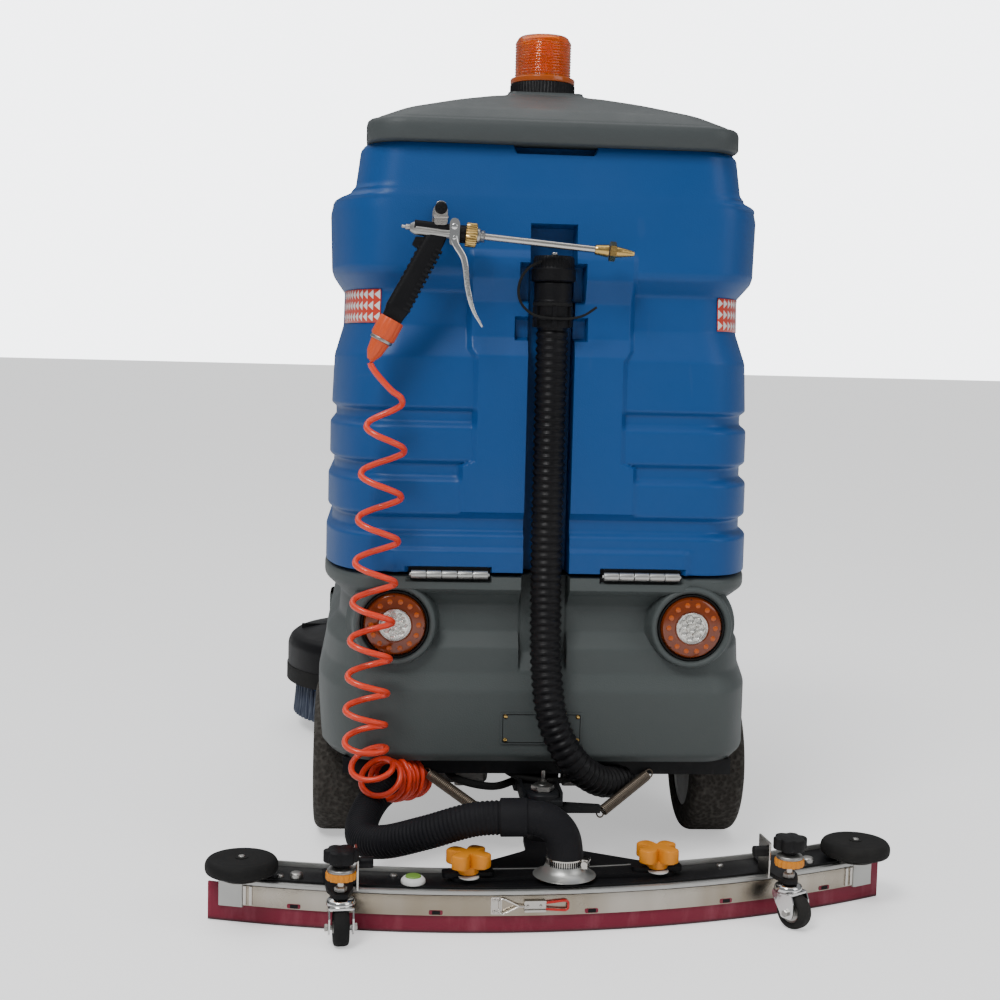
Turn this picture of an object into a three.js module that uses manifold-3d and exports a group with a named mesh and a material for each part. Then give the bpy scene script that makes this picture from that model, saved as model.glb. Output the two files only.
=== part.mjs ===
// A ride-on floor scrubber: a driver's machine that scrubs with two discs under the footwell and dries the
// floor with a curved squeegee behind it. Millimetres; +Y is forwards, +X the machine's right, +Z up, and the
// floor is z = 0. Each named mesh is one separate piece of the machine.
import * as THREE from 'three';
import { mergeVertices } from 'three/addons/utils/BufferGeometryUtils.js';
import Module from 'manifold-3d';

const wasm = await Module();
wasm.setup();

// Driving dimensions
const GAP = 0.3; // between pieces that touch
const REAR_Y = -600; // back face of the body
const NOSE_Y = 915; // front of the bumper
const SKIRT_Z = 175; // lower edge of the rear housing
const DECK_LINE_Z = 462.5; // hinge line between housing and recovery tank
const TANK_TOP_Z = 1100;
const TANK_FRONT_Y = -120; // front wall of the tall part of the tank
const SHELF_FRONT_Y = 238; // front of the tank's seat shelf
const SHELF_Z = 690;
const FLOOR_Z = 350; // footwell floor
const AXLE_Y = -350; // rear axle
const STEER_Y = 695; // steering axis
const TYRE_RADIUS = 125;
const REAR_TYRE_WIDTH = 88;
const REAR_TYRE_X = 306; // middle of a rear tyre
const HINGE_X = 145; // middle of a tank hinge
const HINGE_Y = -608;
const LAMP_X = 225; // tail lamps
const LAMP_Z = 385;
const LAMP_RADIUS = 49;
const DISC_X = 215; // scrubbing discs
const DISC_Y = 390;
const DISC_RADIUS = 215;
const DISC_Z = 32; // bristle tips with the deck raised
const HOSE_RADIUS = 24; // drain and suction hoses
const GUN_Y = -648; // plane in which the spray gun hangs
const COIL_RADIUS = 36; // outside of the coiled spray hose
const SWIVEL_Y = -640; // squeegee's swivel axis
const SWIVEL_DEGREES = 5.2; // how far the squeegee stands turned
const BLADE_ARC = 1268; // radius of the rear blade in plan
const BLADE_Y = -201; // rear blade behind the swivel axis, at mid span
const BLADE_HALF = 490; // half of the blade's chord
const PLATE_Z = 55; // underside of the squeegee's top plate
const LIFT_AXIS = { y: -440, z: 140 }; // hinge of the squeegee's lift arm

// Where the hoses end in sockets under the body, and the routes that lead there
const SUCTION_END = [-196, -506, 144];
const DRAIN_END = [142, -512, 140];
const SUCTION_ROUTE = [
  [-50, -806, 151], [-110, -800, 146], [-178, -778, 120], [-236, -738, 94], [-266, -690, 84],
  [-268, -640, 94], [-250, -592, 116], [-214, -552, 136], [-197, -526, 143], SUCTION_END,
];
const DRAIN_ROUTE = [
  [0, -600, 846], [0, -601, 700], [0, -602, 520], [1, -606, 420], [3, -624, 320], [14, -640, 245],
  [46, -640, 186], [92, -606, 148], [130, -560, 140], [141, -530, 140], DRAIN_END,
];

const parts = new THREE.Group();

function paint(color, roughness, metalness = 0) {
  return () => new THREE.MeshStandardMaterial({ color, roughness, metalness });
}
const blue = paint(0x2a72bd, 0.5);
const grey = paint(0x75797b, 0.55);
const black = paint(0x1a1b1d, 0.6);
const rubber = paint(0x262422, 0.9);
const steel = paint(0xb9bcc0, 0.3, 1);
const aluminium = paint(0xa9abad, 0.45, 1);
const chrome = paint(0xd5d7d9, 0.12, 1);
const brass = paint(0xc59a4a, 0.3, 1);
const amber = paint(0xe07a10, 0.2);
const burgundy = paint(0x8e1836, 0.5);
const orange = paint(0xf0a01c, 0.4);
const vermilion = paint(0xee4a2a, 0.35);
const enamel = paint(0x2c2d30, 0.45, 0.4);

// Solids, joins and cuts

function solidOf(geometry) {
  const bare = geometry.clone();
  bare.deleteAttribute('normal');
  bare.deleteAttribute('uv');
  const merged = mergeVertices(bare, 1e-3);
  const index = merged.index.array;
  const corners = [];
  for (let i = 0; i < index.length; i += 3) {
    const [a, b, c] = index.slice(i, i + 3);
    if (a !== b && b !== c && c !== a) corners.push(a, b, c);
  }
  return new wasm.Manifold(new wasm.Mesh({
    numProp: 3,
    vertProperties: new Float32Array(merged.attributes.position.array),
    triVerts: new Uint32Array(corners),
  }));
}

function geometryOf(manifold) {
  const mesh = manifold.getMesh();
  const geometry = new THREE.BufferGeometry();
  geometry.setAttribute('position', new THREE.BufferAttribute(new Float32Array(mesh.vertProperties), 3));
  geometry.setIndex(new THREE.BufferAttribute(new Uint32Array(mesh.triVerts), 1));
  geometry.computeVertexNormals();
  return geometry;
}

// Joins the pieces of one solid, then cuts the tools out of it.
function build(pieces, tools = []) {
  let whole = solidOf(pieces[0]);
  for (const piece of pieces.slice(1)) whole = whole.add(solidOf(piece));
  for (const tool of tools) whole = whole.subtract(solidOf(tool));
  return geometryOf(whole);
}

function add(name, material, geometry, home = parts) {
  const mesh = new THREE.Mesh(geometry, material());
  mesh.name = name;
  home.add(mesh);
  return mesh;
}

// Shapes

const at = (x, y, z) => new THREE.Vector3(x, y, z);

function box(x0, x1, y0, y1, z0, z1) {
  const block = new THREE.BoxGeometry(x1 - x0, y1 - y0, z1 - z0);
  return block.translate((x0 + x1) / 2, (y0 + y1) / 2, (z0 + z1) / 2);
}

// A round bar between two points; the radius may change from start to end.
function rod(start, end, radius, endRadius = radius, sides = 16) {
  const run = end.clone().sub(start);
  const bar = new THREE.CylinderGeometry(endRadius, radius, run.length(), sides);
  bar.applyQuaternion(new THREE.Quaternion().setFromUnitVectors(at(0, 1, 0), run.normalize()));
  const middle = start.clone().add(end).multiplyScalar(0.5);
  return bar.translate(middle.x, middle.y, middle.z);
}

// A round tube along a smooth line through the points.
function tube(points, radius, steps, sides = 10) {
  const section = new THREE.Shape();
  for (let i = 0; i < sides; i += 1) {
    const turn = (i / sides) * 2 * Math.PI;
    const corner = [radius * Math.cos(turn), radius * Math.sin(turn)];
    if (i === 0) section.moveTo(...corner);
    else section.lineTo(...corner);
  }
  const path = new THREE.CatmullRomCurve3(points.map((p) => at(...p)), false, 'centripetal');
  return new THREE.ExtrudeGeometry(section, { steps, bevelEnabled: false, extrudePath: path });
}

// A shape turned about the Z axis from a profile of [radius, z] pairs.
function turned(profile, sides = 16) {
  const points = profile.map(([r, z]) => new THREE.Vector2(r, z));
  return new THREE.LatheGeometry(points, sides).rotateX(Math.PI / 2);
}

// A flat outline of [x, y] pairs, raised from z0 to z1.
function slab(outline, z0, z1) {
  const shape = new THREE.Shape(outline.map(([x, y]) => new THREE.Vector2(x, y)));
  return new THREE.ExtrudeGeometry(shape, { depth: z1 - z0, bevelEnabled: false }).translate(0, 0, z0);
}

// A side profile of [y, z] pairs, spread from x0 to x1.
function across(profile, x0, x1) {
  const shape = new THREE.Shape(profile.map(([y, z]) => new THREE.Vector2(y, z)));
  const plate = new THREE.ExtrudeGeometry(shape, { depth: x1 - x0, bevelEnabled: false });
  return plate.rotateZ(Math.PI / 2).rotateY(Math.PI / 2).translate(x0, 0, 0);
}

// A block with a bevel all round, for cushions and knobs.
function pillow(width, depth, height, round) {
  const w = width / 2 - round;
  const d = depth / 2 - round;
  const shape = new THREE.Shape();
  shape.moveTo(-w, -d).lineTo(w, -d).lineTo(w, d).lineTo(-w, d);
  const bevel = { bevelThickness: round, bevelSize: round, bevelSegments: 3 };
  const block = new THREE.ExtrudeGeometry(shape, { depth: height - 2 * round, ...bevel });
  return block.translate(0, 0, round - height / 2);
}

// The body's outline seen from above: rear corners are quarter superellipses, front corners quarter circles.
function plan({ half, rear, front, cornerX = 95, cornerY = 240, frontRound = 40, steps = 5 }) {
  const right = [];
  for (let i = 0; i <= steps; i += 1) {
    const turn = (i / steps) * (Math.PI / 2);
    const power = 2 / 2.3;
    right.push([
      half - cornerX + cornerX * Math.sin(turn) ** power,
      rear + cornerY - cornerY * Math.cos(turn) ** power,
    ]);
  }
  for (let i = 0; i <= 2; i += 1) {
    const turn = (i / 2) * (Math.PI / 2);
    right.push([
      half - frontRound + frontRound * Math.cos(turn),
      front - frontRound + frontRound * Math.sin(turn),
    ]);
  }
  const left = right.map(([x, y]) => [-x, y]).reverse();
  return [...right, ...left];
}

// A closed solid through level outlines, each { z, outline }, from the lowest to the highest.
function stacked(levels) {
  const count = levels[0].outline.length;
  const positions = levels.flatMap(({ z, outline }) => outline.flatMap(([x, y]) => [x, y, z]));
  const index = [];
  for (let level = 0; level + 1 < levels.length; level += 1) {
    for (let i = 0; i < count; i += 1) {
      const a = level * count + i;
      const b = level * count + ((i + 1) % count);
      index.push(a, b, b + count, a, b + count, a + count);
    }
  }
  const cap = (outline) => THREE.ShapeUtils.triangulateShape(outline.map((p) => new THREE.Vector2(...p)), []);
  for (const [a, b, c] of cap(levels[0].outline)) index.push(a, c, b);
  const top = (levels.length - 1) * count;
  for (const [a, b, c] of cap(levels.at(-1).outline)) index.push(top + a, top + b, top + c);
  const geometry = new THREE.BufferGeometry();
  geometry.setAttribute('position', new THREE.Float32BufferAttribute(positions, 3));
  geometry.setIndex(index);
  return geometry;
}

// A strip that follows the blade's arc between two radii, from z0 to z1, half chord wide each way.
function arcStrip(inner, outer, z0, z1, half = BLADE_HALF, steps = 16) {
  const reach = Math.asin(half / BLADE_ARC);
  const rim = (radius, turn) => [radius * Math.sin(turn), BLADE_Y + BLADE_ARC - radius * Math.cos(turn)];
  const turns = Array.from({ length: steps + 1 }, (_, i) => -reach + (2 * reach * i) / steps);
  const outline = [...turns.map((t) => rim(outer, t)), ...turns.reverse().map((t) => rim(inner, t))];
  return slab(outline, z0, z1);
}

const arcY = (x, radius = BLADE_ARC) => BLADE_Y + BLADE_ARC - Math.sqrt(radius ** 2 - x ** 2);

// Body and frame, fixed to each other

function chassisFrame() {
  const backbone = across([
    [-560, 176], [131, 176], [160, 204], [160, 290], [760, 290], [760, FLOOR_Z - 32 - GAP],
    [131, FLOOR_Z - 32 - GAP], [131, 199.7], [-560, 199.7],
  ], -75, 75);
  const ears = [-46, 34].map((x) => across([[-475, 178], [-415, 178], [-430, 128], [-450, 128]], x, x + 12));
  const pin = rod(at(-46, LIFT_AXIS.y, LIFT_AXIS.z), at(46, LIFT_AXIS.y, LIFT_AXIS.z), 6);
  const crossBar = box(-190, 190, -560, -530, 168, 199.7);
  const outrigger = box(-225, 225, -392, -308, 176, 199.7);
  const neck = turned([[0, 288], [62, 288], [62, FLOOR_Z - 32 - GAP], [0, FLOOR_Z - 32 - GAP]])
    .translate(0, STEER_Y, 0);
  return build([backbone, ...ears, pin, crossBar, outrigger, neck]);
}

function housingLevels() {
  const rows = [
    [SKIRT_Z, 337, 8], [185, 345, 0], [283, 345, 0], [311, 336, 10], [348, 334, 12], [372, 314, 28],
    [412, 312, 28], [439, 338, 2], [460, 338, 2],
  ];
  return rows.map(([z, half, inset]) => (
    { z, outline: plan({ half, rear: REAR_Y + inset, front: 250 - inset / 2 }) }));
}

function rearHousing() {
  const lampRims = [-LAMP_X, LAMP_X].map((x) => rod(at(x, -540, LAMP_Z), at(x, REAR_Y - 5, LAMP_Z), 66, 61, 28));
  const bay = slab(plan({ half: 232, rear: -544, front: 116, cornerX: 40, cornerY: 40 }), 212, 500);
  const upperBay = box(-232, 232, 100, 232, 332, 500);
  const belly = slab(plan({ half: 325, rear: -584, front: 118, cornerY: 220 }), 0, 200);
  const deckRoom = box(-400, 400, 130, 300, 0, 318);
  const arches = [-1, 1].map((side) => (
    rod(at(side * 240, AXLE_Y, TYRE_RADIUS), at(side * 400, AXLE_Y, TYRE_RADIUS), 146, 146, 24)));
  const lampBores = [-LAMP_X, LAMP_X].map((x) => (
    rod(at(x, -592, LAMP_Z), at(x, -700, LAMP_Z), LAMP_RADIUS + 1.5, LAMP_RADIUS + 1.5, 28)));
  const hoseChannel = across([[-640, 300], [-600, 300], [-571, 340], [-571, 500], [-640, 500]], -36, 36);
  const hingeSlots = [-HINGE_X, HINGE_X].map((x) => box(x - 63, x + 63, -640, -597.7, 436, 480));
  const frameNotch = box(-78, 78, 100, 140, 0, 200);
  const cuts = [bay, upperBay, belly, frameNotch, deckRoom, ...arches, ...lampBores, hoseChannel, ...hingeSlots];
  const hoseSockets = [SUCTION_END, DRAIN_END].map(([x, y, z]) => (
    box(x - 30, x + 30, y + 2, y + 46, z - 28, 206)));
  return build([build([stacked(housingLevels()), ...lampRims], cuts), ...hoseSockets]);
}

function frontBody() {
  const deck = stacked([
    { z: FLOOR_Z - 32, outline: plan({ half: 318, rear: 252, front: NOSE_Y - 8, cornerX: 20, cornerY: 20,
      frontRound: 150 }) },
    { z: FLOOR_Z - 24, outline: plan({ half: 326, rear: 252, front: NOSE_Y, cornerX: 20, cornerY: 20,
      frontRound: 150 }) },
    { z: FLOOR_Z, outline: plan({ half: 326, rear: 252, front: NOSE_Y, cornerX: 20, cornerY: 20,
      frontRound: 150 }) },
  ]);
  const noseRows = [[195, 270, 560, NOSE_Y - 12], [215, 282, 560, NOSE_Y], [330, 300, 560, NOSE_Y]];
  const nose = stacked(noseRows.map(([z, half, rear, front]) => (
    { z, outline: plan({ half, rear, front, cornerX: 20, cornerY: 20, frontRound: 130 }) })));
  const towerRows = [
    [FLOOR_Z - 6, 268, 548, 890], [440, 262, 552, 884], [500, 236, 562, 862], [760, 196, 596, 836],
    [900, 186, 600, 826], [932, 178, 606, 820],
  ];
  const tower = stacked(towerRows.map(([z, half, rear, front]) => (
    { z, outline: plan({ half, rear, front, cornerX: 40, cornerY: 40, frontRound: 90 }) })));
  const well = rod(at(0, STEER_Y, 0), at(0, STEER_Y, FLOOR_Z - 32), 172, 172, 32);
  const discRooms = [-DISC_X, DISC_X].map((x) => rod(at(x, DISC_Y, 0), at(x, DISC_Y, FLOOR_Z - 32), 250, 250, 32));
  const legRoom = across([[520, FLOOR_Z + GAP], [592, FLOOR_Z + GAP], [602, 440], [606, 700], [520, 700]], -150, 150);
  const headlampBore = rod(at(0, 780, 620), at(0, 1000, 620), 52, 52, 24);
  return build([deck, nose, tower], [well, ...discRooms, legRoom, headlampBore]);
}

// The dash slopes up away from the driver; controls stand square to it.
const DASH_TILT = THREE.MathUtils.degToRad(24.4);
const DASH_NORMAL = at(0, -Math.sin(DASH_TILT), Math.cos(DASH_TILT));
const dashPoint = (x, y) => at(x, y, 944 + (y - 600) * Math.tan(DASH_TILT));
const STOP_SEAT = dashPoint(120, 716);
const KEY_SEAT = dashPoint(-120, 716);
const COLUMN_TILT = THREE.MathUtils.degToRad(30);
const COLUMN_AXIS = at(0, -Math.sin(COLUMN_TILT), Math.cos(COLUMN_TILT));
const COLUMN_TOP = at(0, 552, 1026);

function dashPanel() {
  const wedge = across([[600, 932.3], [822, 932.3], [822, 1008], [790, 1030], [600, 944]], -172, 172);
  const column = rod(COLUMN_TOP.clone().addScaledVector(COLUMN_AXIS, -120), COLUMN_TOP, 26);
  const bores = [STOP_SEAT, KEY_SEAT].map((seat) => (
    rod(seat.clone().addScaledVector(DASH_NORMAL, -16), seat.clone().addScaledVector(DASH_NORMAL, 20), 10)));
  return build([wedge, column], [box(-200, 200, 500, 900, 800, 932.3), ...bores]);
}

function transaxle() {
  const axleTube = rod(at(-246, AXLE_Y, TYRE_RADIUS), at(246, AXLE_Y, TYRE_RADIUS), 22);
  const shaft = rod(at(-330, AXLE_Y, TYRE_RADIUS), at(330, AXLE_Y, TYRE_RADIUS), 12);
  const gearCase = rod(at(-155, AXLE_Y, TYRE_RADIUS), at(-65, AXLE_Y, TYRE_RADIUS), 49, 49, 20);
  const motor = rod(at(-110, AXLE_Y, TYRE_RADIUS), at(-110, -120, TYRE_RADIUS), 46, 46, 20);
  const hangers = [-200, 165].map((x) => box(x, x + 30, AXLE_Y - 26, AXLE_Y + 26, 130, 176 - GAP));
  return build([axleTube, shaft, gearCase, motor, ...hangers]);
}

function batteryPack() {
  return build([box(-215, 215, -520, 90, 212.3, 440), box(-205, 205, -500, 70, 440, 452)]);
}

function vacuumMotor() {
  const can = turned([[0, 332.3], [62, 332.3], [62, 396], [48, 404], [48, 440], [0, 440]]);
  return can.translate(0, 166, 0);
}

function tailLight(side) {
  const lens = turned([[0, 0], [LAMP_RADIUS, 0], [LAMP_RADIUS, 12], [46, 16], [24, 18], [22, 16], [0, 17]], 22);
  return lens.rotateX(Math.PI / 2).translate(side * LAMP_X, -592.3, LAMP_Z);
}

function namePlate() {
  return box(-62, 62, REAR_Y - GAP - 2, REAR_Y - GAP, 203.5, 252);
}

function tankHinge(side) {
  const x = side * HINGE_X;
  const barrel = rod(at(x - 59, HINGE_Y, DECK_LINE_Z), at(x + 59, HINGE_Y, DECK_LINE_Z), 5.5);
  const web = box(x - 59, x + 59, HINGE_Y, -598, 453, DECK_LINE_Z - 2);
  const leaf = box(x - 59, x + 59, -601, -598, 440, 458);
  return build([barrel, web, leaf]);
}

function headlight() {
  const lens = turned([[0, 0], [50, 0], [50, 70], [44, 80], [20, 84], [0, 85]], 24);
  return lens.rotateX(-Math.PI / 2).translate(0, 780.5, 620);
}

const FRAME_PIECES = [
  ['chassis_frame', enamel, chassisFrame],
  ['rear_housing', grey, rearHousing],
  ['front_body', blue, frontBody],
  ['dash_panel', black, dashPanel],
  ['transaxle', aluminium, transaxle],
  ['battery_pack', black, batteryPack],
  ['vacuum_motor', aluminium, vacuumMotor],
  ['tail_light_left', amber, () => tailLight(-1)],
  ['tail_light_right', amber, () => tailLight(1)],
  ['name_plate', steel, namePlate],
  ['tank_hinge_left', steel, () => tankHinge(-1)],
  ['tank_hinge_right', steel, () => tankHinge(1)],
  ['headlight', chrome, headlight],
];
for (const [name, material, shape] of FRAME_PIECES) add(name, material, shape());

// Running gear and controls

function rimmedWheel(radius, width, bore) {
  const h = width / 2;
  const profile = [
    [bore, -h], [radius * 0.6, -h], [radius * 0.66, -h + 4], [radius - 7, -h + 2], [radius, -h + 10],
    [radius, h - 10], [radius - 7, h - 2], [radius * 0.66, h - 4], [radius * 0.6, h], [bore, h], [bore, -h],
  ];
  return turned(profile, 24).rotateY(Math.PI / 2);
}

for (const [side, word] of [[-1, 'left'], [1, 'right']]) {
  const wheel = rimmedWheel(TYRE_RADIUS, REAR_TYRE_WIDTH, 12.6).rotateX(Math.PI / 2);
  wheel.translate(side * REAR_TYRE_X, AXLE_Y, TYRE_RADIUS);
  add(`rear_wheel_${word}`, rubber, wheel);
}

function frontFork() {
  const crown = turned([[0, 263], [58, 263], [58, 287.7], [0, 287.7]]).translate(0, STEER_Y, 0);
  const legs = [-56, 46].map((x) => across([
    [STEER_Y - 34, 270], [STEER_Y - 16, 108], [STEER_Y + 16, 108], [STEER_Y + 34, 270],
  ], x, x + 10));
  const axle = rod(at(-58, STEER_Y, TYRE_RADIUS), at(58, STEER_Y, TYRE_RADIUS), 10);
  return build([crown, ...legs, axle]);
}
add('front_fork', enamel, frontFork());
add('front_wheel', rubber, rimmedWheel(TYRE_RADIUS, 78, 10.6).translate(0, STEER_Y, TYRE_RADIUS));

// The steering wheel turns about the column, which leans back towards the driver.
function steeringWheel() {
  const rim = new THREE.TorusGeometry(165, 13, 6, 20);
  const hub = turned([[0, -22], [34, -22], [40, 6], [30, 14], [0, 16]], 20);
  const spokes = [90, 210, 330].map((degrees) => {
    const turn = THREE.MathUtils.degToRad(degrees);
    return rod(at(0, 0, -4), at(158 * Math.cos(turn), 158 * Math.sin(turn), 0), 10, 8, 8);
  });
  const centre = COLUMN_TOP.clone().addScaledVector(COLUMN_AXIS, 22.6);
  return build([rim, hub, ...spokes]).rotateX(COLUMN_TILT).translate(centre.x, centre.y, centre.z);
}
add('steering_wheel', black, steeringWheel());

// Both dash controls are turned about Z and then stood on the dash, with their stems in its bores.
const onDash = (geometry, seat) => geometry.rotateX(DASH_TILT).translate(seat.x, seat.y, seat.z);
const stopButton = turned([[0, -8], [9, -8], [9, 7], [19, 9], [20, 19], [14, 26], [0, 27]], 20);
add('emergency_stop', paint(0xc81818, 0.35), onDash(stopButton, STOP_SEAT));
const key = build([turned([[0, -14], [9, -14], [9, 3], [6, 5], [0, 5]], 16), box(-2, 2, -9, 9, 2, 30)]);
add('key_switch', steel, onDash(key, KEY_SEAT));

function acceleratorPedal() {
  const tread = across([[470, 378], [560, 430], [563, 424], [476, 372]], 60, 130);
  const knuckle = rod(at(60, 474, 372), at(130, 474, 372), 8);
  return build([tread, knuckle]);
}
add('accelerator_pedal', black, acceleratorPedal());

// Scrub deck and discs

function brushDeck() {
  const shells = [-DISC_X, DISC_X].map((x) => (
    turned([[0, 128], [224, 128], [224, 182], [214, 200], [150, 214], [0, 214]], 26).translate(x, DISC_Y, 0)));
  const bridge = box(-150, 150, DISC_Y - 120, DISC_Y + 110, 128, 214);
  const motors = [-DISC_X, DISC_X].map((x) => turned([[0, 210], [62, 210], [62, 300], [50, 310], [0, 310]], 20)
    .translate(x, DISC_Y, 0));
  const lift = box(-26, 26, DISC_Y - 40, DISC_Y + 40, 210, 262);
  return build([...shells, bridge, ...motors, lift]);
}
add('brush_deck', black, brushDeck());

for (const [side, word] of [[-1, 'left'], [1, 'right']]) {
  const disc = turned([
    [0, 100], [60, 98], [90, DISC_Z], [DISC_RADIUS - 1, DISC_Z], [DISC_RADIUS - 8, 96], [DISC_RADIUS - 10, 118],
    [40, 127], [0, 127],
  ], 26);
  add(`brush_${word}`, rubber, disc.translate(side * DISC_X, DISC_Y, 0));
}

// Recovery tank, which tips back on its hinges with the seat, the lid and the spray gun

function tankLevels() {
  const rows = [
    [465, 336, 0], [520, 336, 0], [528, 327, 9], [546, 327, 9], [550, 334, 1], [601, 334, 1], [609, 325, 9],
    [627, 325, 9], [631, 332, 2], [682, 332, 2], [690, 323, 10], [706, 323, 10], [710, 330, 3], [786, 327, 5],
    [833, 308, 22], [884, 306, 23], [908, 326, 3], [918, 329, 0], [1004, 332, 0], [1020, 326, 5],
    [1032, 300, 9], [1042, 295, 10], [TANK_TOP_Z, 288, 12],
  ];
  return rows.map(([z, half, inset]) => ({
    z,
    outline: plan({ half, rear: REAR_Y + inset, front: TANK_FRONT_Y, cornerY: z > 1025 ? 110 : 220,
      cornerX: z > 1025 ? 70 : 95 }),
  }));
}

function recoveryTank() {
  const shelf = stacked([[465, 332], [662, 330], [682, 324], [SHELF_Z, 312]].map(([z, half]) => (
    { z, outline: plan({ half, rear: -240, front: SHELF_FRONT_Y, cornerX: 20, cornerY: 20, frontRound: 60 }) })));
  const panel = across([[-560, 552], [-602, 552], [-603, 930], [-596, 944], [-560, 944]], -119, 119);
  const foot = across([[-560, 552], [-601, 552], [-601.5, 629], [-560, 629]], -128, 128);
  const ledge = across([[-560, 465], [-606, 465], [-606, 494], [-598, 502], [-560, 502]], -232, 214);
  const mouth = slab(plan({ half: 205, rear: -545, front: -175, cornerX: 50, cornerY: 50 }), 815, 1200);
  const hoseChannel = box(-35, 35, -700, -562, 400, 985);
  const crossBars = [box(-49, 49, -700, -570, 872, 926), box(-53, 53, -700, -574, 815, 848)];
  const fingerNotch = slab([[-64, -640], [64, -640], [64, -556], [-64, -556]], 1087, 1200);
  const hingeSlots = [-HINGE_X, HINGE_X].map((x) => box(x - 63, x + 63, -640, -599, 440, 474));
  const cuts = [mouth, hoseChannel, ...crossBars, fingerNotch, ...hingeSlots];
  return build([stacked(tankLevels()), shelf, panel, foot, ledge], cuts);
}
add('recovery_tank', blue, recoveryTank());

function tankLid() {
  const rows = [[0, 1, 1], [22, 1, 1], [30, 0.985, 0.99], [52, 0.86, 0.9], [78, 0.62, 0.66], [96, 0.36, 0.4],
    [104.5, 0.21, 0.24]];
  const middle = -360;
  return stacked(rows.map(([rise, wide, deep]) => {
    const outline = plan({ half: 280, rear: -606, front: -112, cornerX: 60, cornerY: 60, frontRound: 60 });
    return {
      z: TANK_TOP_Z + GAP + rise,
      outline: outline.map(([x, y]) => [x * wide, middle + (y - middle) * deep]),
    };
  }));
}
add('tank_lid', grey, tankLid());

const LID_TOP_Z = TANK_TOP_Z + GAP + 104.5;
const beaconBase = [[0, 0.3], [56, 0.3], [53, 3], [53, 22], [47, 24], [0, 24]];
const beaconLens = [[0, 24.3], [46, 24.3], [46, 32], [45, 34], [45, 88], [38, 96], [0, 98]];
for (const [name, material, profile] of [['beacon_base', black, beaconBase], ['beacon_lens', amber, beaconLens]]) {
  add(name, material, turned(profile, 22).translate(0, AXLE_Y, LID_TOP_Z));
}

// Seat

function seatPan() {
  return across([
    [-104, SHELF_Z + GAP], [292, SHELF_Z + GAP], [306, 722], [-58, 722], [-92, 1040], [-112, 1040], [-110, 800],
  ], -190, 190);
}
add('seat_pan', black, seatPan());
const cushion = pillow(430, 372, 78, 26);
add('seat_cushion', rubber, cushion.translate(0, 146, 762));
const backrest = pillow(420, 62, 262, 24);
backrest.rotateX(THREE.MathUtils.degToRad(6.1)).translate(0, -50, 942);
add('seat_back', rubber, backrest);

// Spray gun, hung at the back of the tank

const GRIP_TOP = at(-166, GUN_Y, 956);
const GRIP_END = at(-236, GUN_Y, 832);
const GRIP_RUN = GRIP_END.clone().sub(GRIP_TOP).normalize();

function gunBracket() {
  const back = REAR_Y - GAP;
  const tab = across([[back, 962], [back, 1018], [back - 3.4, 1018], [back - 3.4, 989], [-668, 989],
    [-668, 985.6], [back - 3.4, 985.6], [back - 3.4, 962]], -186, -154);
  return build([tab], [rod(at(-170, GUN_Y, 900), at(-170, GUN_Y, 1000), 12)]);
}
add('gun_bracket', steel, gunBracket());

function gunBody() {
  const barrel = rod(at(-224, GUN_Y, 974), at(-146, GUN_Y, 961), 12.6);
  const block = box(-158, -138, GUN_Y - 11, GUN_Y + 11, 946, 962);
  const grip = rod(GRIP_TOP, GRIP_END, 16, 18, 12);
  const stem = rod(at(-170, GUN_Y, 955), at(-170, GUN_Y, 998), 9);
  return build([barrel, block, grip, stem]);
}
add('gun_body', black, gunBody());

function gunTrigger() {
  const y = GUN_Y - 18;
  const blade = tube([[-146, y, 966], [-128, y, 925], [-120, y, 880], [-109, y, 832]], 5, 8, 8);
  const side = rod(at(-148, y - 2, 968), at(-148, y + 4, 968), 8);
  return build([blade, side]);
}
add('gun_trigger', chrome, gunTrigger());

function gunLance() {
  const from = at(-133, GUN_Y, 958.6);
  const to = at(49, GUN_Y, 948);
  const tip = at(116, GUN_Y, 942);
  const along = (a, b, t) => a.clone().lerp(b, t);
  const nut = rod(from, along(from, to, 0.1), 13, 13, 6);
  const tipNut = rod(to, along(to, tip, 0.45), 10.5, 10.5, 6);
  return build([nut, rod(from, to, 5.2), tipNut, rod(to, tip, 7.5, 3.5)]);
}
add('gun_lance', brass, gunLance());

function hoseConnector() {
  const start = GRIP_END.clone().addScaledVector(GRIP_RUN, GAP);
  const middle = start.clone().addScaledVector(GRIP_RUN, 34);
  const end = middle.clone().addScaledVector(GRIP_RUN, 22);
  return build([rod(start, middle, 19, 19), rod(middle, end, 15, 8)]);
}
add('hose_connector', vermilion, hoseConnector());

// The spray hose: a short straight lead, the coil as one tube of its outside width, and a tail under the body.
function coilHose() {
  const lead = tube([[-264.6, GUN_Y, 780], [-264, GUN_Y, 764], [-262, GUN_Y, 742]], 5, 4, 8);
  const coil = tube([[-251, GUN_Y, 742], [-249, GUN_Y, 600], [-256, GUN_Y, 420], [-270, GUN_Y, 230],
    [-268, GUN_Y, 172]], COIL_RADIUS, 10, 8);
  const bunch = rod(at(-290, GUN_Y, 168), at(-222, GUN_Y, 178), 40, 36, 12);
  const tail = tube([[-232, GUN_Y, 178], [-208, -625, 168], [-200, -585, 166], [-196, -562, 172]], 5, 8, 8);
  return build([lead, coil, bunch, tail]);
}
add('coil_hose', vermilion, coilHose());

// Drain hose, from the fitting under the body up to its cuff and cap in the back of the tank

add('drain_hose', black, tube(DRAIN_ROUTE, HOSE_RADIUS, 26, 8));

add('drain_cuff', black, turned([[0, 846.3], [29, 846.3], [31, 852], [31, 884], [27, 888], [27, 899.7],
  [0, 899.7]]).translate(0, -600, 0));
add('drain_cap', black, turned([[0, 900], [32, 900], [33, 906], [33, 930], [29, 938], [0, 939]])
  .translate(0, -600, 0));

// Squeegee: the lift arm, and everything that swivels on its end

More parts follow.
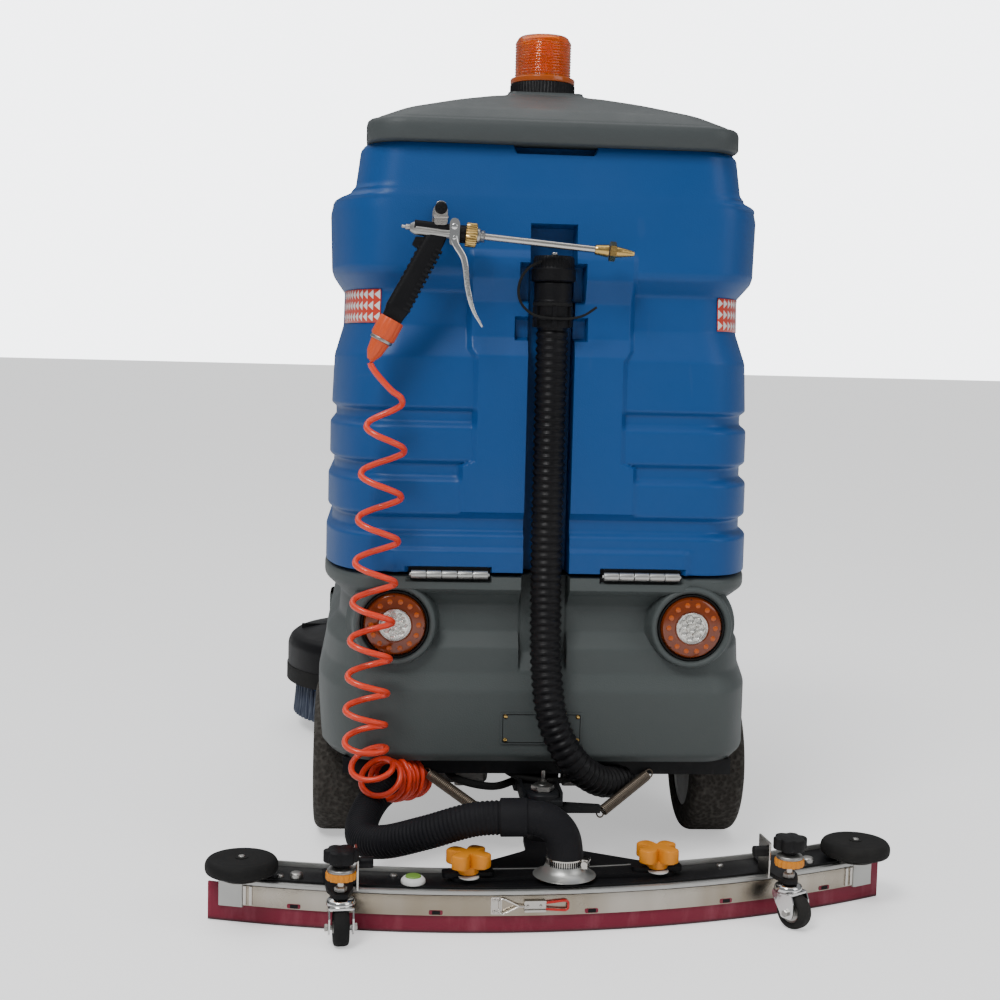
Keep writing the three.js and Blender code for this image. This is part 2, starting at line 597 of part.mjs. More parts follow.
function squeegeeArm() {
  const { y, z } = LIFT_AXIS;
  const bar = box(-28, 28, SWIVEL_Y - 24, y + 2, 122, 134);
  const barrel = rod(at(-33.5, y, z), at(33.5, y, z), 15);
  const head = turned([[0, 108], [26, 108], [26, 140], [0, 140]], 20).translate(0, SWIVEL_Y, 0);
  const pin = rod(at(0, SWIVEL_Y, 70), at(0, SWIVEL_Y, 110), 10);
  const ears = box(-88, 88, SWIVEL_Y - 8, SWIVEL_Y + 8, 110, 120);
  const bore = rod(at(-60, y, z), at(60, y, z), 6.4);
  return build([bar, barrel, head, pin, ears], [bore]);
}
add('squeegee_arm', enamel, squeegeeArm());

for (const [side, word] of [[-1, 'left'], [1, 'right']]) {
  const spring = rod(at(side * 86, SWIVEL_Y, 90), at(side * 176, -574, 155), 9, 9, 10);
  add(`lift_spring_${word}`, steel, spring);
}

const squeegee = new THREE.Group();
squeegee.position.set(0, SWIVEL_Y, 0);
squeegee.rotation.z = THREE.MathUtils.degToRad(SWIVEL_DEGREES);
parts.add(squeegee);

const CASTER_X = 314;
const CASTER_Y = -210;
const CASTER_RADIUS = 25;
const CASTER_TRAIL = 12;
const ROLLER_X = 445;
const ROLLER_Y = -128;
const KNOB_X = 135;
const KNOB_Y = -157;
const PLATE_TOP = PLATE_Z + 10;

function squeegeeFrame() {
  const plate = arcStrip(BLADE_ARC - 60, BLADE_ARC - 1, PLATE_Z, PLATE_TOP, BLADE_HALF - 8);
  const hub = turned([[0, PLATE_Z], [24, PLATE_Z], [24, 104], [0, 104]], 20);
  const yoke = slab([[-24, 12], [24, 12], [30, -60], [150, -150], [150, -176], [-150, -176], [-150, -150],
    [-30, -60]], PLATE_TOP - 1, PLATE_TOP + 6);
  const yokeRoot = box(-24, 24, -50, 0, PLATE_Z, PLATE_TOP);
  const casterArms = [-CASTER_X, CASTER_X].map((x) => box(x - 18, x + 18, CASTER_Y - 18, -110, PLATE_TOP - 1,
    PLATE_TOP + 6));
  const rollerArms = [-ROLLER_X, ROLLER_X].map((x) => build([
    box(x - 20, x + 20, ROLLER_Y - 16, -80, PLATE_TOP - 2, PLATE_TOP + 3),
    rod(at(x, ROLLER_Y, PLATE_TOP), at(x, ROLLER_Y, PLATE_TOP + 35), 7)]));
  const endBlocks = [-1, 1].map((side) => {
    const x = side * (BLADE_HALF - 26);
    return box(x - 16, x + 16, arcY(x) + 10, arcY(x) + 50, 30, PLATE_TOP);
  });
  const bore = rod(at(0, 0, 0), at(0, 0, 130), 10.6);
  const outlet = rod(at(0, -171, 0), at(0, -171, 130), 25);
  return build([plate, hub, yoke, yokeRoot, ...casterArms, ...rollerArms, ...endBlocks], [bore, outlet]);
}
add('squeegee_frame', black, squeegeeFrame(), squeegee);

add('squeegee_band', steel, arcStrip(BLADE_ARC + 4.6, BLADE_ARC + 7, 26, PLATE_Z - 1), squeegee);
add('rear_blade', burgundy, arcStrip(BLADE_ARC, BLADE_ARC + 4.2, 1, PLATE_Z - GAP), squeegee);
add('front_blade', burgundy, arcStrip(BLADE_ARC - 56, BLADE_ARC - 52, 1, PLATE_Z - GAP, 420), squeegee);

function suctionOutlet() {
  const funnel = turned([[0, PLATE_TOP + 6 + GAP], [42, PLATE_TOP + 6 + GAP], [36, PLATE_TOP + 9],
    [29, PLATE_TOP + 16], [28, PLATE_TOP + 26], [0, PLATE_TOP + 26]]).translate(0, -171, 0);
  const elbow = tube([[0, -171, PLATE_TOP + 22], [0, -171, 112], [-8, -170, 134], [-30, -166, 148],
    [-54, -162, 151]], 28, 8, 10);
  return build([funnel, elbow]);
}
add('suction_outlet', black, suctionOutlet(), squeegee);

for (const [side, word] of [[-1, 'left'], [1, 'right']]) {
  const roller = turned([[7.5, 70], [44, 70], [50, 76], [50, 96], [44, 101], [7.5, 101], [7.5, 70]], 20);
  add(`end_roller_${word}`, black, roller.translate(side * ROLLER_X, ROLLER_Y, 0), squeegee);

  const knob = pillow(34, 14, 22, 5).rotateX(0).translate(0, 0, 17);
  const wing = build([turned([[0, 0], [15, 0], [13, 8], [8, 10], [0, 10]], 16), knob]);
  add(`wing_knob_${word}`, orange, wing.translate(side * KNOB_X, KNOB_Y, PLATE_TOP + 6 + GAP), squeegee);

  const grip = turned([[0, 0], [20, 0], [20, 6], [8, 8], [8, 16], [18, 17], [18, 26], [0, 27]], 20);
  add(`caster_knob_${word}`, orange, grip.translate(side * CASTER_X, CASTER_Y, PLATE_TOP + 6 + GAP), squeegee);

  const caster = new THREE.Group();
  caster.position.set(side * CASTER_X, CASTER_Y, 0);
  caster.rotation.z = side > 0 ? THREE.MathUtils.degToRad(30) : 0;
  squeegee.add(caster);
  const crown = turned([[0, 55], [16, 55], [16, PLATE_TOP - 1 - GAP], [0, PLATE_TOP - 1 - GAP]], 16);
  const legs = [-16, 13].map((x) => across([[-CASTER_TRAIL - 8, 20], [-CASTER_TRAIL + 8, 20], [12, 58], [-20, 58]],
    x, x + 3));
  const axle = rod(at(-15, -CASTER_TRAIL, CASTER_RADIUS), at(15, -CASTER_TRAIL, CASTER_RADIUS), 3.6, 3.6, 12);
  add(`caster_fork_${word}`, chrome, build([crown, ...legs, axle]), caster);
  const tyre = turned([[4, -11], [20, -11], [CASTER_RADIUS, -6], [CASTER_RADIUS, 6], [20, 11], [4, 11], [4, -11]], 24);
  tyre.rotateY(Math.PI / 2).translate(0, -CASTER_TRAIL, CASTER_RADIUS);
  add(`caster_wheel_${word}`, rubber, tyre, caster);
}

const latchY = arcY(-60, BLADE_ARC + 7);
add('band_latch', steel, box(-88, -26, latchY - 8, latchY - 2, 33, 47), squeegee);

// Suction hose, from the elbow round to the left and back under the body
add('suction_hose', black, tube(SUCTION_ROUTE, HOSE_RADIUS, 20, 8));

export default parts;
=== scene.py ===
import math

import bmesh
import bpy
import numpy as np
from mathutils import Matrix, Vector


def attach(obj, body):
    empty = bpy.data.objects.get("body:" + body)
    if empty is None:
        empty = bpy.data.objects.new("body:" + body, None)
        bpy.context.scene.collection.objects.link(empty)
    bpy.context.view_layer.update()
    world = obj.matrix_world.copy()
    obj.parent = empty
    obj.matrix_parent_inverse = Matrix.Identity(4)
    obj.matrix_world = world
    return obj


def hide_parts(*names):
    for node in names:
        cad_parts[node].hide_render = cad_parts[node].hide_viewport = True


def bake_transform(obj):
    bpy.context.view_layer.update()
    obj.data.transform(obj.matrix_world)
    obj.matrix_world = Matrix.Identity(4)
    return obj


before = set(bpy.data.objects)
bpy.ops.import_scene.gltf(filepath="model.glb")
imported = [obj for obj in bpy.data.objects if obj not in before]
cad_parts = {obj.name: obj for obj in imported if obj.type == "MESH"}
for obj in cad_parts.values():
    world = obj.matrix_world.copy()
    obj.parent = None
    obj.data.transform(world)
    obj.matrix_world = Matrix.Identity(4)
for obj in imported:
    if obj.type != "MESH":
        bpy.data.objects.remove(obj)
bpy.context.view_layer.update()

MM = 0.001

# Where things stand, as in the frame
REAR_Y = -600
LID_TOP_Z = 1204.8
AXLE_Y = -350
TYRE_RADIUS = 125
LAMP_X, LAMP_Z, LAMP_FACE_Y = 225, 385, -592
HINGE_X, HINGE_Y, HINGE_Z = 145, -608, 462.5
GUN_Y = -648
SWIVEL = (0, -640, 0)
SWIVEL_DEGREES = 5.2
BLADE_ARC, BLADE_Y = 1268, -201
CASTER_X, CASTER_Y = 314, -210
PLATE_Z, PLATE_TOP = 55, 65
STEER_Y = 695
SUCTION_ROUTE = [
    (-50, -806, 151), (-110, -800, 146), (-178, -778, 120), (-236, -738, 94), (-266, -690, 84),
    (-268, -640, 94), (-250, -592, 116), (-214, -552, 136), (-197, -526, 143), (-196, -506, 144),
]
DRAIN_ROUTE = [
    (0, -600, 846), (0, -601, 700), (0, -602, 520), (1, -606, 420), (3, -624, 320), (14, -640, 245),
    (46, -640, 186), (92, -606, 148), (130, -560, 140), (141, -530, 140), (142, -512, 140),
]


# Surfaces. A skin is (points, faces): points in millimetres, faces as whole arrays of corner numbers.

def unit(vectors):
    """Each vector divided by its own length."""
    return vectors / np.maximum(np.linalg.norm(vectors, axis=-1, keepdims=True), 1e-12)


def woven(rows, around=True, ends=True):
    """A grid of points woven into four-sided faces: face (i, j) joins rows i, i + 1 and columns j, j + 1.
    around joins the last column to the first, and ends closes the first and last rows with one face each."""
    count, width = rows.shape[:2]
    grid = np.arange(count * width).reshape(count, width)
    wide = np.concatenate([grid, grid[:, :1]], axis=1) if around else grid
    quads = np.stack([wide[:-1, :-1], wide[:-1, 1:], wide[1:, 1:], wide[1:, :-1]], axis=-1).reshape(-1, 4)
    return rows.reshape(-1, 3), [quads] + ([grid[:1, ::-1], grid[-1:]] if ends else [])


def placed(skin, turn=np.eye(3), shift=(0, 0, 0)):
    """Every point turned by a 3 x 3 matrix and then moved; a mirroring matrix turns the faces round too."""
    points, faces = skin
    turn = np.array(turn, float)
    if np.linalg.det(turn) < 0:
        faces = [face[:, ::-1] for face in faces]
    return points @ turn.T + np.array(shift, float), faces


def about(axis, degrees):
    """The matrix of a turn about X, Y or Z."""
    return np.array(Matrix.Rotation(math.radians(degrees), 3, axis))


def facing(direction):
    """The matrix that stands the Z axis along a direction by the shortest turn."""
    return np.array(Vector((0, 0, 1)).rotation_difference(Vector(direction)).to_matrix())


def eased(points, radius, steps=4, closed=False):
    """A line of points with round corners: each corner becomes the quadratic curve that starts and ends a
    radius away from it along both of its sides, or half a side away where that is nearer."""
    line = np.array(points, float)
    corner = line if closed else line[1:-1]
    before = np.roll(line, 1, 0) if closed else line[:-2]
    after = np.roll(line, -1, 0) if closed else line[2:]

    def towards(other):
        """The place on the way to a neighbour where the rounding starts."""
        size = np.linalg.norm(other - corner, axis=1, keepdims=True)
        return corner + (other - corner) * np.minimum(radius, size * 0.49) / np.maximum(size, 1e-9)

    start, end = towards(before)[:, None], towards(after)[:, None]
    t = np.linspace(0, 1, steps)[None, :, None]
    curve = ((1 - t) ** 2 * start + 2 * t * (1 - t) * corner[:, None] + t ** 2 * end).reshape(-1,
                                                                                              line.shape[1])
    return curve if closed else np.concatenate([line[:1], curve, line[-1:]])


def turned(profile, sides=48, closed=False):
    """A profile of (radius, height) pairs turned about Z: x = r cos t, y = r sin t."""
    r, z = np.array(profile, float).T
    t = np.linspace(0, 2 * np.pi, sides, endpoint=False)
    rows = np.stack([np.outer(r, np.cos(t)), np.outer(r, np.sin(t)), np.repeat(z[:, None], sides, 1)], -1)
    return woven(rows, ends=not closed)


def fluted(profile, ribs, depth, sides=120, sharp=1.0):
    """A turned profile whose radius swells and shrinks ribs times round: r - depth (1 - |cos|^sharp), and
    keeps its own radius where the profile's third number is 0."""
    r, z, share = np.array(profile, float).T
    t = np.linspace(0, 2 * np.pi, sides, endpoint=False)
    cut = depth * (1 - np.abs(np.cos(ribs * t / 2)) ** sharp)
    radius = r[:, None] - share[:, None] * cut[None]
    return woven(np.stack([radius * np.cos(t), radius * np.sin(t), np.repeat(z[:, None], sides, 1)], -1))


def slab(outline, z0, z1):
    """A flat outline of (x, y) pairs raised from z0 to z1."""
    flat = np.array(outline, float)
    return woven(np.stack([np.column_stack([flat, np.full(len(flat), z)]) for z in (z0, z1)]))


def block(x0, x1, y0, y1, z0, z1):
    """A box, as a slab of four corners."""
    return slab([(x0, y0), (x1, y0), (x1, y1), (x0, y1)], z0, z1)


def across(profile, x0, x1):
    """A side profile of (y, z) pairs spread from x0 to x1."""
    points, faces = slab(profile, x0, x1)
    return points[:, [2, 0, 1]], faces


def upright(profile, y0, y1):
    """A rear-view profile of (x, z) pairs, anticlockwise, spread from y0 to y1."""
    points, faces = slab(profile, -y1, -y0)
    return np.column_stack([points[:, 0], -points[:, 2], points[:, 1]]), faces


def ring(radius, sides=24):
    """A circle as (x, y) pairs."""
    t = np.linspace(0, 2 * np.pi, sides, endpoint=False)
    return np.column_stack([radius * np.cos(t), radius * np.sin(t)])


def plate(width, height, radius, steps=6):
    """A rectangle about the origin with round corners, as (x, y) pairs."""
    w, h = width / 2, height / 2
    return eased([(-w, -h), (w, -h), (w, h), (-w, h)], radius, steps, closed=True)


def carried(path, section, up=(0, 0, 1), size=1.0, ends=True, loop=False):
    """A section carried along a path. At each point the section's x lies along up x tangent and its y along
    tangent x side, and size, one number or one for each row, scales it."""
    path = np.array(path, float)
    run = np.roll(path, -1, 0) - np.roll(path, 1, 0) if loop else np.gradient(path, axis=0)
    along = unit(run)
    side = unit(np.cross(np.array(up, float), along))
    lift = np.cross(along, side)
    section = np.array(section, float)
    size = np.broadcast_to(np.reshape(np.asarray(size, float), (-1, 1)), (len(path), 1))[..., None]
    rows = path[:, None] + size * (section[None, :, :1] * side[:, None] + section[None, :, 1:] * lift[:,
                                                                                                      None])
    if loop:
        rows = np.concatenate([rows, rows[:1]])
    return woven(rows, ends=ends and not loop)


def rod(start, end, radius, end_radius=None, sides=24, edge=0.0):
    """A round bar between two points, with its ends rounded off by edge."""
    start, end = np.array(start, float), np.array(end, float)
    end_radius = radius if end_radius is None else end_radius
    length = np.linalg.norm(end - start)
    profile = [(0, 0), (radius, 0), (end_radius, length), (0, length)]
    return placed(turned(eased(profile, edge, 4) if edge else profile, sides), facing(end - start), start)


def standing(profile, at, direction, sides=48):
    """A turned profile stood at a point along a direction."""
    return placed(turned(profile, sides), facing(direction), at)


def hexagon(at, direction, across_flats, height):
    """A nut: a turned six-sided profile with its corners taken off at both ends."""
    r = across_flats / math.sqrt(3)
    profile = [(0, 0), (r * 0.88, 0), (r, height * 0.12), (r, height * 0.88), (r * 0.88, height),
               (0, height)]
    return standing(profile, at, direction, 6)


def dome_screw(at, direction, radius):
    """A pan-head screw: a turned cap with a small socket in its top."""
    h = radius * 0.62
    profile = [(0, 0), (radius, 0), (radius, h * 0.3), (radius * 0.8, h * 0.8), (radius * 0.4, h),
               (radius * 0.36, h * 0.55), (0, h * 0.5)]
    return standing(profile, at, direction, 20)


def flowing(points, count):
    """A smooth line through the points in count equal steps: cubic pieces whose slopes weigh each
    neighbouring step by the square root of its length, measured finely and then spaced evenly."""
    line = np.array(points, float)
    step = np.diff(line, axis=0)
    gap = np.sqrt(np.linalg.norm(step, axis=1))
    knots = np.concatenate([[0], np.cumsum(gap)])
    rate = step / gap[:, None]
    middle = rate[:-1] + rate[1:] - (line[2:] - line[:-2]) / (knots[2:] - knots[:-2])[:, None]
    slope = np.concatenate([rate[:1], middle, rate[-1:]])
    t = np.linspace(0, knots[-1], 60 * len(line))
    i = np.clip(np.searchsorted(knots, t, side="right") - 1, 0, len(line) - 2)
    h, s = gap[i][:, None], ((t - knots[i]) / gap[i])[:, None]
    fine = ((2 * s ** 3 - 3 * s ** 2 + 1) * line[i] + (s ** 3 - 2 * s ** 2 + s) * h * slope[i]
            + (3 * s ** 2 - 2 * s ** 3) * line[i + 1] + (s ** 3 - s ** 2) * h * slope[i + 1])
    way = np.concatenate([[0], np.cumsum(np.linalg.norm(np.diff(fine, axis=0), axis=1))])
    even = np.linspace(0, way[-1], count + 1)
    return np.column_stack([np.interp(even, way, fine[:, k]) for k in range(3)])


def length_of(path):
    """The sum of the steps of a line, in metres."""
    return float(np.linalg.norm(np.diff(path, axis=0), axis=1).sum() * MM)


def ramp(values, low, high):
    """0 below low, 1 above high and straight between."""
    return np.clip((values - low) / (high - low), 0, 1)


def window(values, low, high, edge=3.0):
    """1 between low and high, falling to 0 over edge outside them."""
    return ramp(values, low - edge, low) * (1 - ramp(values, high, high + edge))


def mixed(a, b, share):
    """a where share is 0 and b where it is 1."""
    return a + (b - a) * share


# Finishes. A shared effect is a node group; every shader stays in its own material.

def effect(name, inputs, outputs, wiring):
    """A shader node group with named number or colour sockets; wiring(tree, get, put) places its nodes."""
    tree = bpy.data.node_groups.new(name, "ShaderNodeTree")
    kinds = {"v": "NodeSocketVector", "f": "NodeSocketFloat", "c": "NodeSocketColor"}
    for word, kind, value in inputs:
        socket = tree.interface.new_socket(name=word, in_out="INPUT", socket_type=kinds[kind])
        if value is not None:
            socket.default_value = value
    for word, kind in outputs:
        tree.interface.new_socket(name=word, in_out="OUTPUT", socket_type=kinds[kind])
    source, sink = tree.nodes.new("NodeGroupInput"), tree.nodes.new("NodeGroupOutput")
    wiring(tree, source.outputs, sink.inputs)
    return tree


def node(tree, kind, links=None, **settings):
    """A node with its settings, and its input sockets linked or set by name or number."""
    made = tree.nodes.new("ShaderNode" + kind)
    for word, value in settings.items():
        setattr(made, word, value)
    for key, value in (links or {}).items():
        if isinstance(value, bpy.types.NodeSocket):
            tree.links.new(value, made.inputs[key])
        else:
            made.inputs[key].default_value = value
    return made


def maths(tree, operation, a, b=0.0, c=0.0, clamp=False):
    """One sum of up to three numbers or sockets."""
    return node(tree, "Math", {0: a, 1: b, 2: c}, operation=operation, use_clamp=clamp).outputs[0]


def noise(tree, vector, scale, detail=3.0, rough=0.55, stretch=(1, 1, 1)):
    """Fractal noise on a vector that may be stretched first."""
    moved = node(tree, "Mapping", {"Vector": vector, "Scale": stretch}).outputs[0]
    return node(tree, "TexNoise", {"Vector": moved, "Scale": scale, "Detail": detail,
                                   "Roughness": rough}).outputs[0]


def between(tree, value, low, high, to_low=0.0, to_high=1.0):
    """A value's stretch from low to high spread over another stretch, and held at its ends."""
    return node(tree, "MapRange", {"Value": value, "From Min": low, "From Max": high, "To Min": to_low,
                                   "To Max": to_high}, clamp=True).outputs[0]


def blended(tree, share, a, b, kind="MIX"):
    """Two colours mixed by a share."""
    mix = node(tree, "Mix", data_type="RGBA", blend_type=kind, clamp_factor=True)
    for socket, value in ((mix.inputs[0], share), (mix.inputs[6], a), (mix.inputs[7], b)):
        if isinstance(value, bpy.types.NodeSocket):
            tree.links.new(value, socket)
        else:
            socket.default_value = value if not isinstance(value, tuple) or len(value) == 4 else (*value, 1)
    return mix.outputs[2]


def weather_wiring(tree, get, put):
    """Dust lies in soft cloudy patches and thickens towards the floor; scuffs are short bright strokes,
    noise stretched along one way and kept only at its peaks; tone is a slow drift of the colour."""
    place = get["Place"]
    cloud = noise(tree, place, 3.2, 5, 0.6)
    fine = noise(tree, place, 38.0, 3, 0.6)
    height = node(tree, "SeparateXYZ", {0: place}).outputs[2]
    low = between(tree, height, 0.9, 0.05, 0.25, 1.0)
    patch = maths(tree, "MULTIPLY", between(tree, cloud, 0.42, 0.72),
                  between(tree, fine, 0.3, 0.7, 0.5, 1.0))
    dust = maths(tree, "MULTIPLY", maths(tree, "MULTIPLY", patch, low), get["Dust"], clamp=True)
    strokes = noise(tree, place, 46.0, 2, 0.5, (1.0, 1.0, 0.16))
    strokes_b = noise(tree, place, 60.0, 2, 0.5, (0.14, 0.4, 1.0))
    peak = maths(tree, "MAXIMUM", between(tree, strokes, 0.71, 0.76), between(tree, strokes_b, 0.72, 0.77))
    scuffs = maths(tree, "MULTIPLY", peak, get["Scuffs"], clamp=True)
    tone = between(tree, noise(tree, place, 1.7, 2, 0.5), 0.3, 0.7, -1.0, 1.0)
    for word, value in (("Dust", dust), ("Scuffs", scuffs), ("Tone", tone)):
        tree.links.new(value, put[word])


def grain_wiring(tree, get, put):
    """Moulded skin: rounded cells of a given size, softened by noise, as a height from 0 to 1."""
    cells = node(tree, "TexVoronoi", {"Vector": get["Place"], "Scale": get["Fineness"]},
                 feature="SMOOTH_F1").outputs[0]
    speck = node(tree, "TexNoise", {"Vector": get["Place"], "Scale": get["Fineness"],
                                    "Detail": 3.0}).outputs[0]
    tree.links.new(maths(tree, "ADD", maths(tree, "MULTIPLY", cells, 0.6),
                         maths(tree, "MULTIPLY", speck, 0.6)),
                   put["Height"])


def brush_wiring(tree, get, put):
    """Brushed metal: noise drawn out along one axis by a great stretch, as a height from 0 to 1."""
    moved = node(tree, "VectorMath", {0: get["Place"], 1: get["Stretch"]}, operation="MULTIPLY").outputs[0]
    lines = node(tree, "TexNoise", {"Vector": moved, "Scale": 60.0, "Detail": 4.0,
                                    "Roughness": 0.7}).outputs[0]
    tree.links.new(lines, put["Height"])


WEATHER = effect("weather", [("Place", "v", None), ("Dust", "f", 0.3), ("Scuffs", "f", 0.2)],
                 [("Dust", "f"), ("Scuffs", "f"), ("Tone", "f")], weather_wiring)
GRAIN = effect("moulded_grain", [("Place", "v", None), ("Fineness", "f", 600.0)], [("Height", "f")],
               grain_wiring)
BRUSHED = effect("brushed_lines", [("Place", "v", None), ("Stretch", "v", (1, 1, 1))], [("Height", "f")],
                 brush_wiring)


def coat_of(name, colour, rough, *, metal=0.0, dust=0.25, scuffs=0.25, tone=0.06, grain=600.0, relief=0.25,
            brushed=None, scuff_colour=None, dust_colour=(0.24, 0.225, 0.20), rough_spread=0.12, coat=0.0,
            extra=None, **sockets):
    """A finish: colour drifting by tone, dust and scuffs over it, roughness that follows them, and a fine
    bump of grain or of brushed lines. extra(tree, place, colour, rough, height) may change the three
    sockets."""
    material = bpy.data.materials.new(name)
    material.use_nodes = True
    tree = material.node_tree
    shader = tree.nodes["Principled BSDF"]
    place = node(tree, "TexCoord").outputs["Object"]
    weather = node(tree, "Group", node_tree=WEATHER)
    tree.links.new(place, weather.inputs["Place"])
    weather.inputs["Dust"].default_value, weather.inputs["Scuffs"].default_value = dust, scuffs
    dark = tuple(c * (1 - tone) for c in colour)
    light = tuple(min(c * (1 + tone), 1.0) for c in colour)
    base = blended(tree, between(tree, weather.outputs["Tone"], -1, 1), dark, light)
    base = blended(tree, maths(tree, "MULTIPLY", weather.outputs["Scuffs"], 0.35), base,
                   scuff_colour or tuple(c * 0.8 + 0.06 for c in colour))
    base = blended(tree, maths(tree, "MULTIPLY", weather.outputs["Dust"], 0.4), base, dust_colour)
    if brushed:
        height = node(tree, "Group", node_tree=BRUSHED)
        height.inputs["Stretch"].default_value = brushed
    else:
        height = node(tree, "Group", node_tree=GRAIN)
        height.inputs["Fineness"].default_value = grain
    tree.links.new(place, height.inputs["Place"])
    height = height.outputs["Height"]
    patchy = noise(tree, place, 9.0, 4)
    roughness = between(tree, patchy, 0.25, 0.75, max(rough - rough_spread, 0.03),
                        min(rough + rough_spread, 1.0))
    roughness = maths(tree, "ADD", roughness, maths(tree, "MULTIPLY", weather.outputs["Dust"], 0.3),
                      clamp=True)
    if extra:
        base, roughness, height = extra(tree, place, base, roughness, height)
    tree.links.new(base, shader.inputs["Base Color"])
    tree.links.new(roughness, shader.inputs["Roughness"])
    bump = node(tree, "Bump", {"Height": height, "Strength": relief, "Distance": 0.0012})
    tree.links.new(bump.outputs[0], shader.inputs["Normal"])
    shader.inputs["Metallic"].default_value = metal
    if coat:
        shader.inputs["Coat Weight"].default_value = coat
        shader.inputs["Coat Roughness"].default_value = 0.12
    if metal < 0.5:
        shader.inputs["Specular IOR Level"].default_value = 0.3 if max(colour) > 0.02 else 0.16
    for word, value in sockets.items():
        shader.inputs[word.replace("_", " ")].default_value = value
    return material


def tape_pattern(tree, place, base, rough, height):
    """Rows of white outward-pointing triangles on red along the tape's own UV, in metres: within each cell
    the white lies where |v - 1/2| is less than about half of 1 - u."""
    uv = node(tree, "TexCoord").outputs["UV"]
    part = node(tree, "SeparateXYZ", {0: uv}).outputs
    u = maths(tree, "FRACT", maths(tree, "DIVIDE", part[0], 0.0135))
    v = maths(tree, "ABSOLUTE", maths(tree, "SUBTRACT", maths(tree, "FRACT",
                                                              maths(tree, "DIVIDE", part[1], 0.0167)), 0.5))
    white = maths(tree, "LESS_THAN", v, maths(tree, "MULTIPLY", maths(tree, "SUBTRACT", 0.84, u), 0.5))
    cells = node(tree, "TexVoronoi", {"Vector": place, "Scale": 700.0}).outputs[0]
    return blended(tree, white, base, (0.78, 0.78, 0.76)), rough, maths(tree, "ADD", height, cells)


def tyre_pattern(tree, place, base, rough, height):
    """Coarse pebbled rubber: large soft cells over the fine grain, with grey dirt in the hollows."""
    pebble = node(tree, "TexVoronoi", {"Vector": place, "Scale": 170.0}, feature="SMOOTH_F1").outputs[0]
    hollow = between(tree, pebble, 0.35, 0.75)
    return blended(tree, maths(tree, "MULTIPLY", hollow, 0.5), base, (0.11, 0.10, 0.09)), rough, maths(
        tree, "ADD", height, maths(tree, "MULTIPLY", pebble, 2.4))


def blade_pattern(tree, place, base, rough, height):
    """Wet polyurethane: pale watery streaks running down, and a dark band along the lower edge, darker
    towards the floor.
    """
    height_m = node(tree, "SeparateXYZ", {0: place}).outputs[2]
    streak = between(tree, noise(tree, place, 30.0, 4, 0.6, (1, 1, 0.25)), 0.5, 0.75, 0.0, 0.35)
    base = blended(tree, streak, base, (0.42, 0.12, 0.16))
    edge = between(tree, height_m, 0.006, 0.002)
    return blended(tree, edge, base, (0.05, 0.02, 0.025)), rough, height


def floor_reflection_paint(tree, place, base, rough, height):
    """Stainless band: broad brown and pale patches along its length, a painted reflection of the floor in
    its bent mirror."""
    reflected_floor = between(tree, noise(tree, place, 9.0, 3, 0.5, (1, 1, 0.12)), 0.35, 0.68)
    return blended(tree, reflected_floor, (0.34, 0.29, 0.22, 1), base), rough, height


def lid_pattern(tree, place, base, rough, height):
    """A low waviness of the moulding under the fine grain."""
    wave = noise(tree, place, 14.0, 2)
    return base, rough, maths(tree, "ADD", height, maths(tree, "MULTIPLY", wave, 0.8))


def bristle_pattern(tree, place, base, rough, height):
    """Fine upright strands: noise drawn out along Z in colour and height."""
    strand = noise(tree, place, 420.0, 2, 0.5, (1, 1, 0.03))
    return blended(tree, between(tree, strand, 0.4, 0.7), base, (0.10, 0.12, 0.16)), rough, strand


def stitched_vinyl(tree, place, base, rough, height):
    """Leathercloth: small rounded cells with creases between."""
    cell = node(tree, "TexVoronoi", {"Vector": place, "Scale": 260.0}, feature="DISTANCE_TO_EDGE").outputs[0]
    return base, rough, maths(tree, "ADD", maths(tree, "MULTIPLY", height, 0.4),
                              between(tree, cell, 0.0, 0.18))


def glass_of(name, colour, rough, transmission, ior=1.49, glow=0.0):
    """A clear moulding: tinted, with fine scratches in its roughness and a shallow wavy bump."""
    material = bpy.data.materials.new(name)
    material.use_nodes = True
    tree = material.node_tree
    shader = tree.nodes["Principled BSDF"]
    place = node(tree, "TexCoord").outputs["Object"]
    tint = blended(tree, between(tree, noise(tree, place, 26.0), 0.35, 0.65),
                   tuple(c * 0.88 for c in colour), colour)
    tree.links.new(tint, shader.inputs["Base Color"])
    tree.links.new(between(tree, noise(tree, place, 90.0), 0.3, 0.75, rough, rough + 0.1),
                   shader.inputs["Roughness"])
    bump = node(tree, "Bump", {"Height": noise(tree, place, 130.0), "Strength": 0.15, "Distance": 0.0006})
    tree.links.new(bump.outputs[0], shader.inputs["Normal"])
    shader.inputs["Transmission Weight"].default_value = transmission
    shader.inputs["IOR"].default_value = ior
    if glow:
        shader.inputs["Emission Color"].default_value = (*colour, 1)
        shader.inputs["Emission Strength"].default_value = glow
    return material


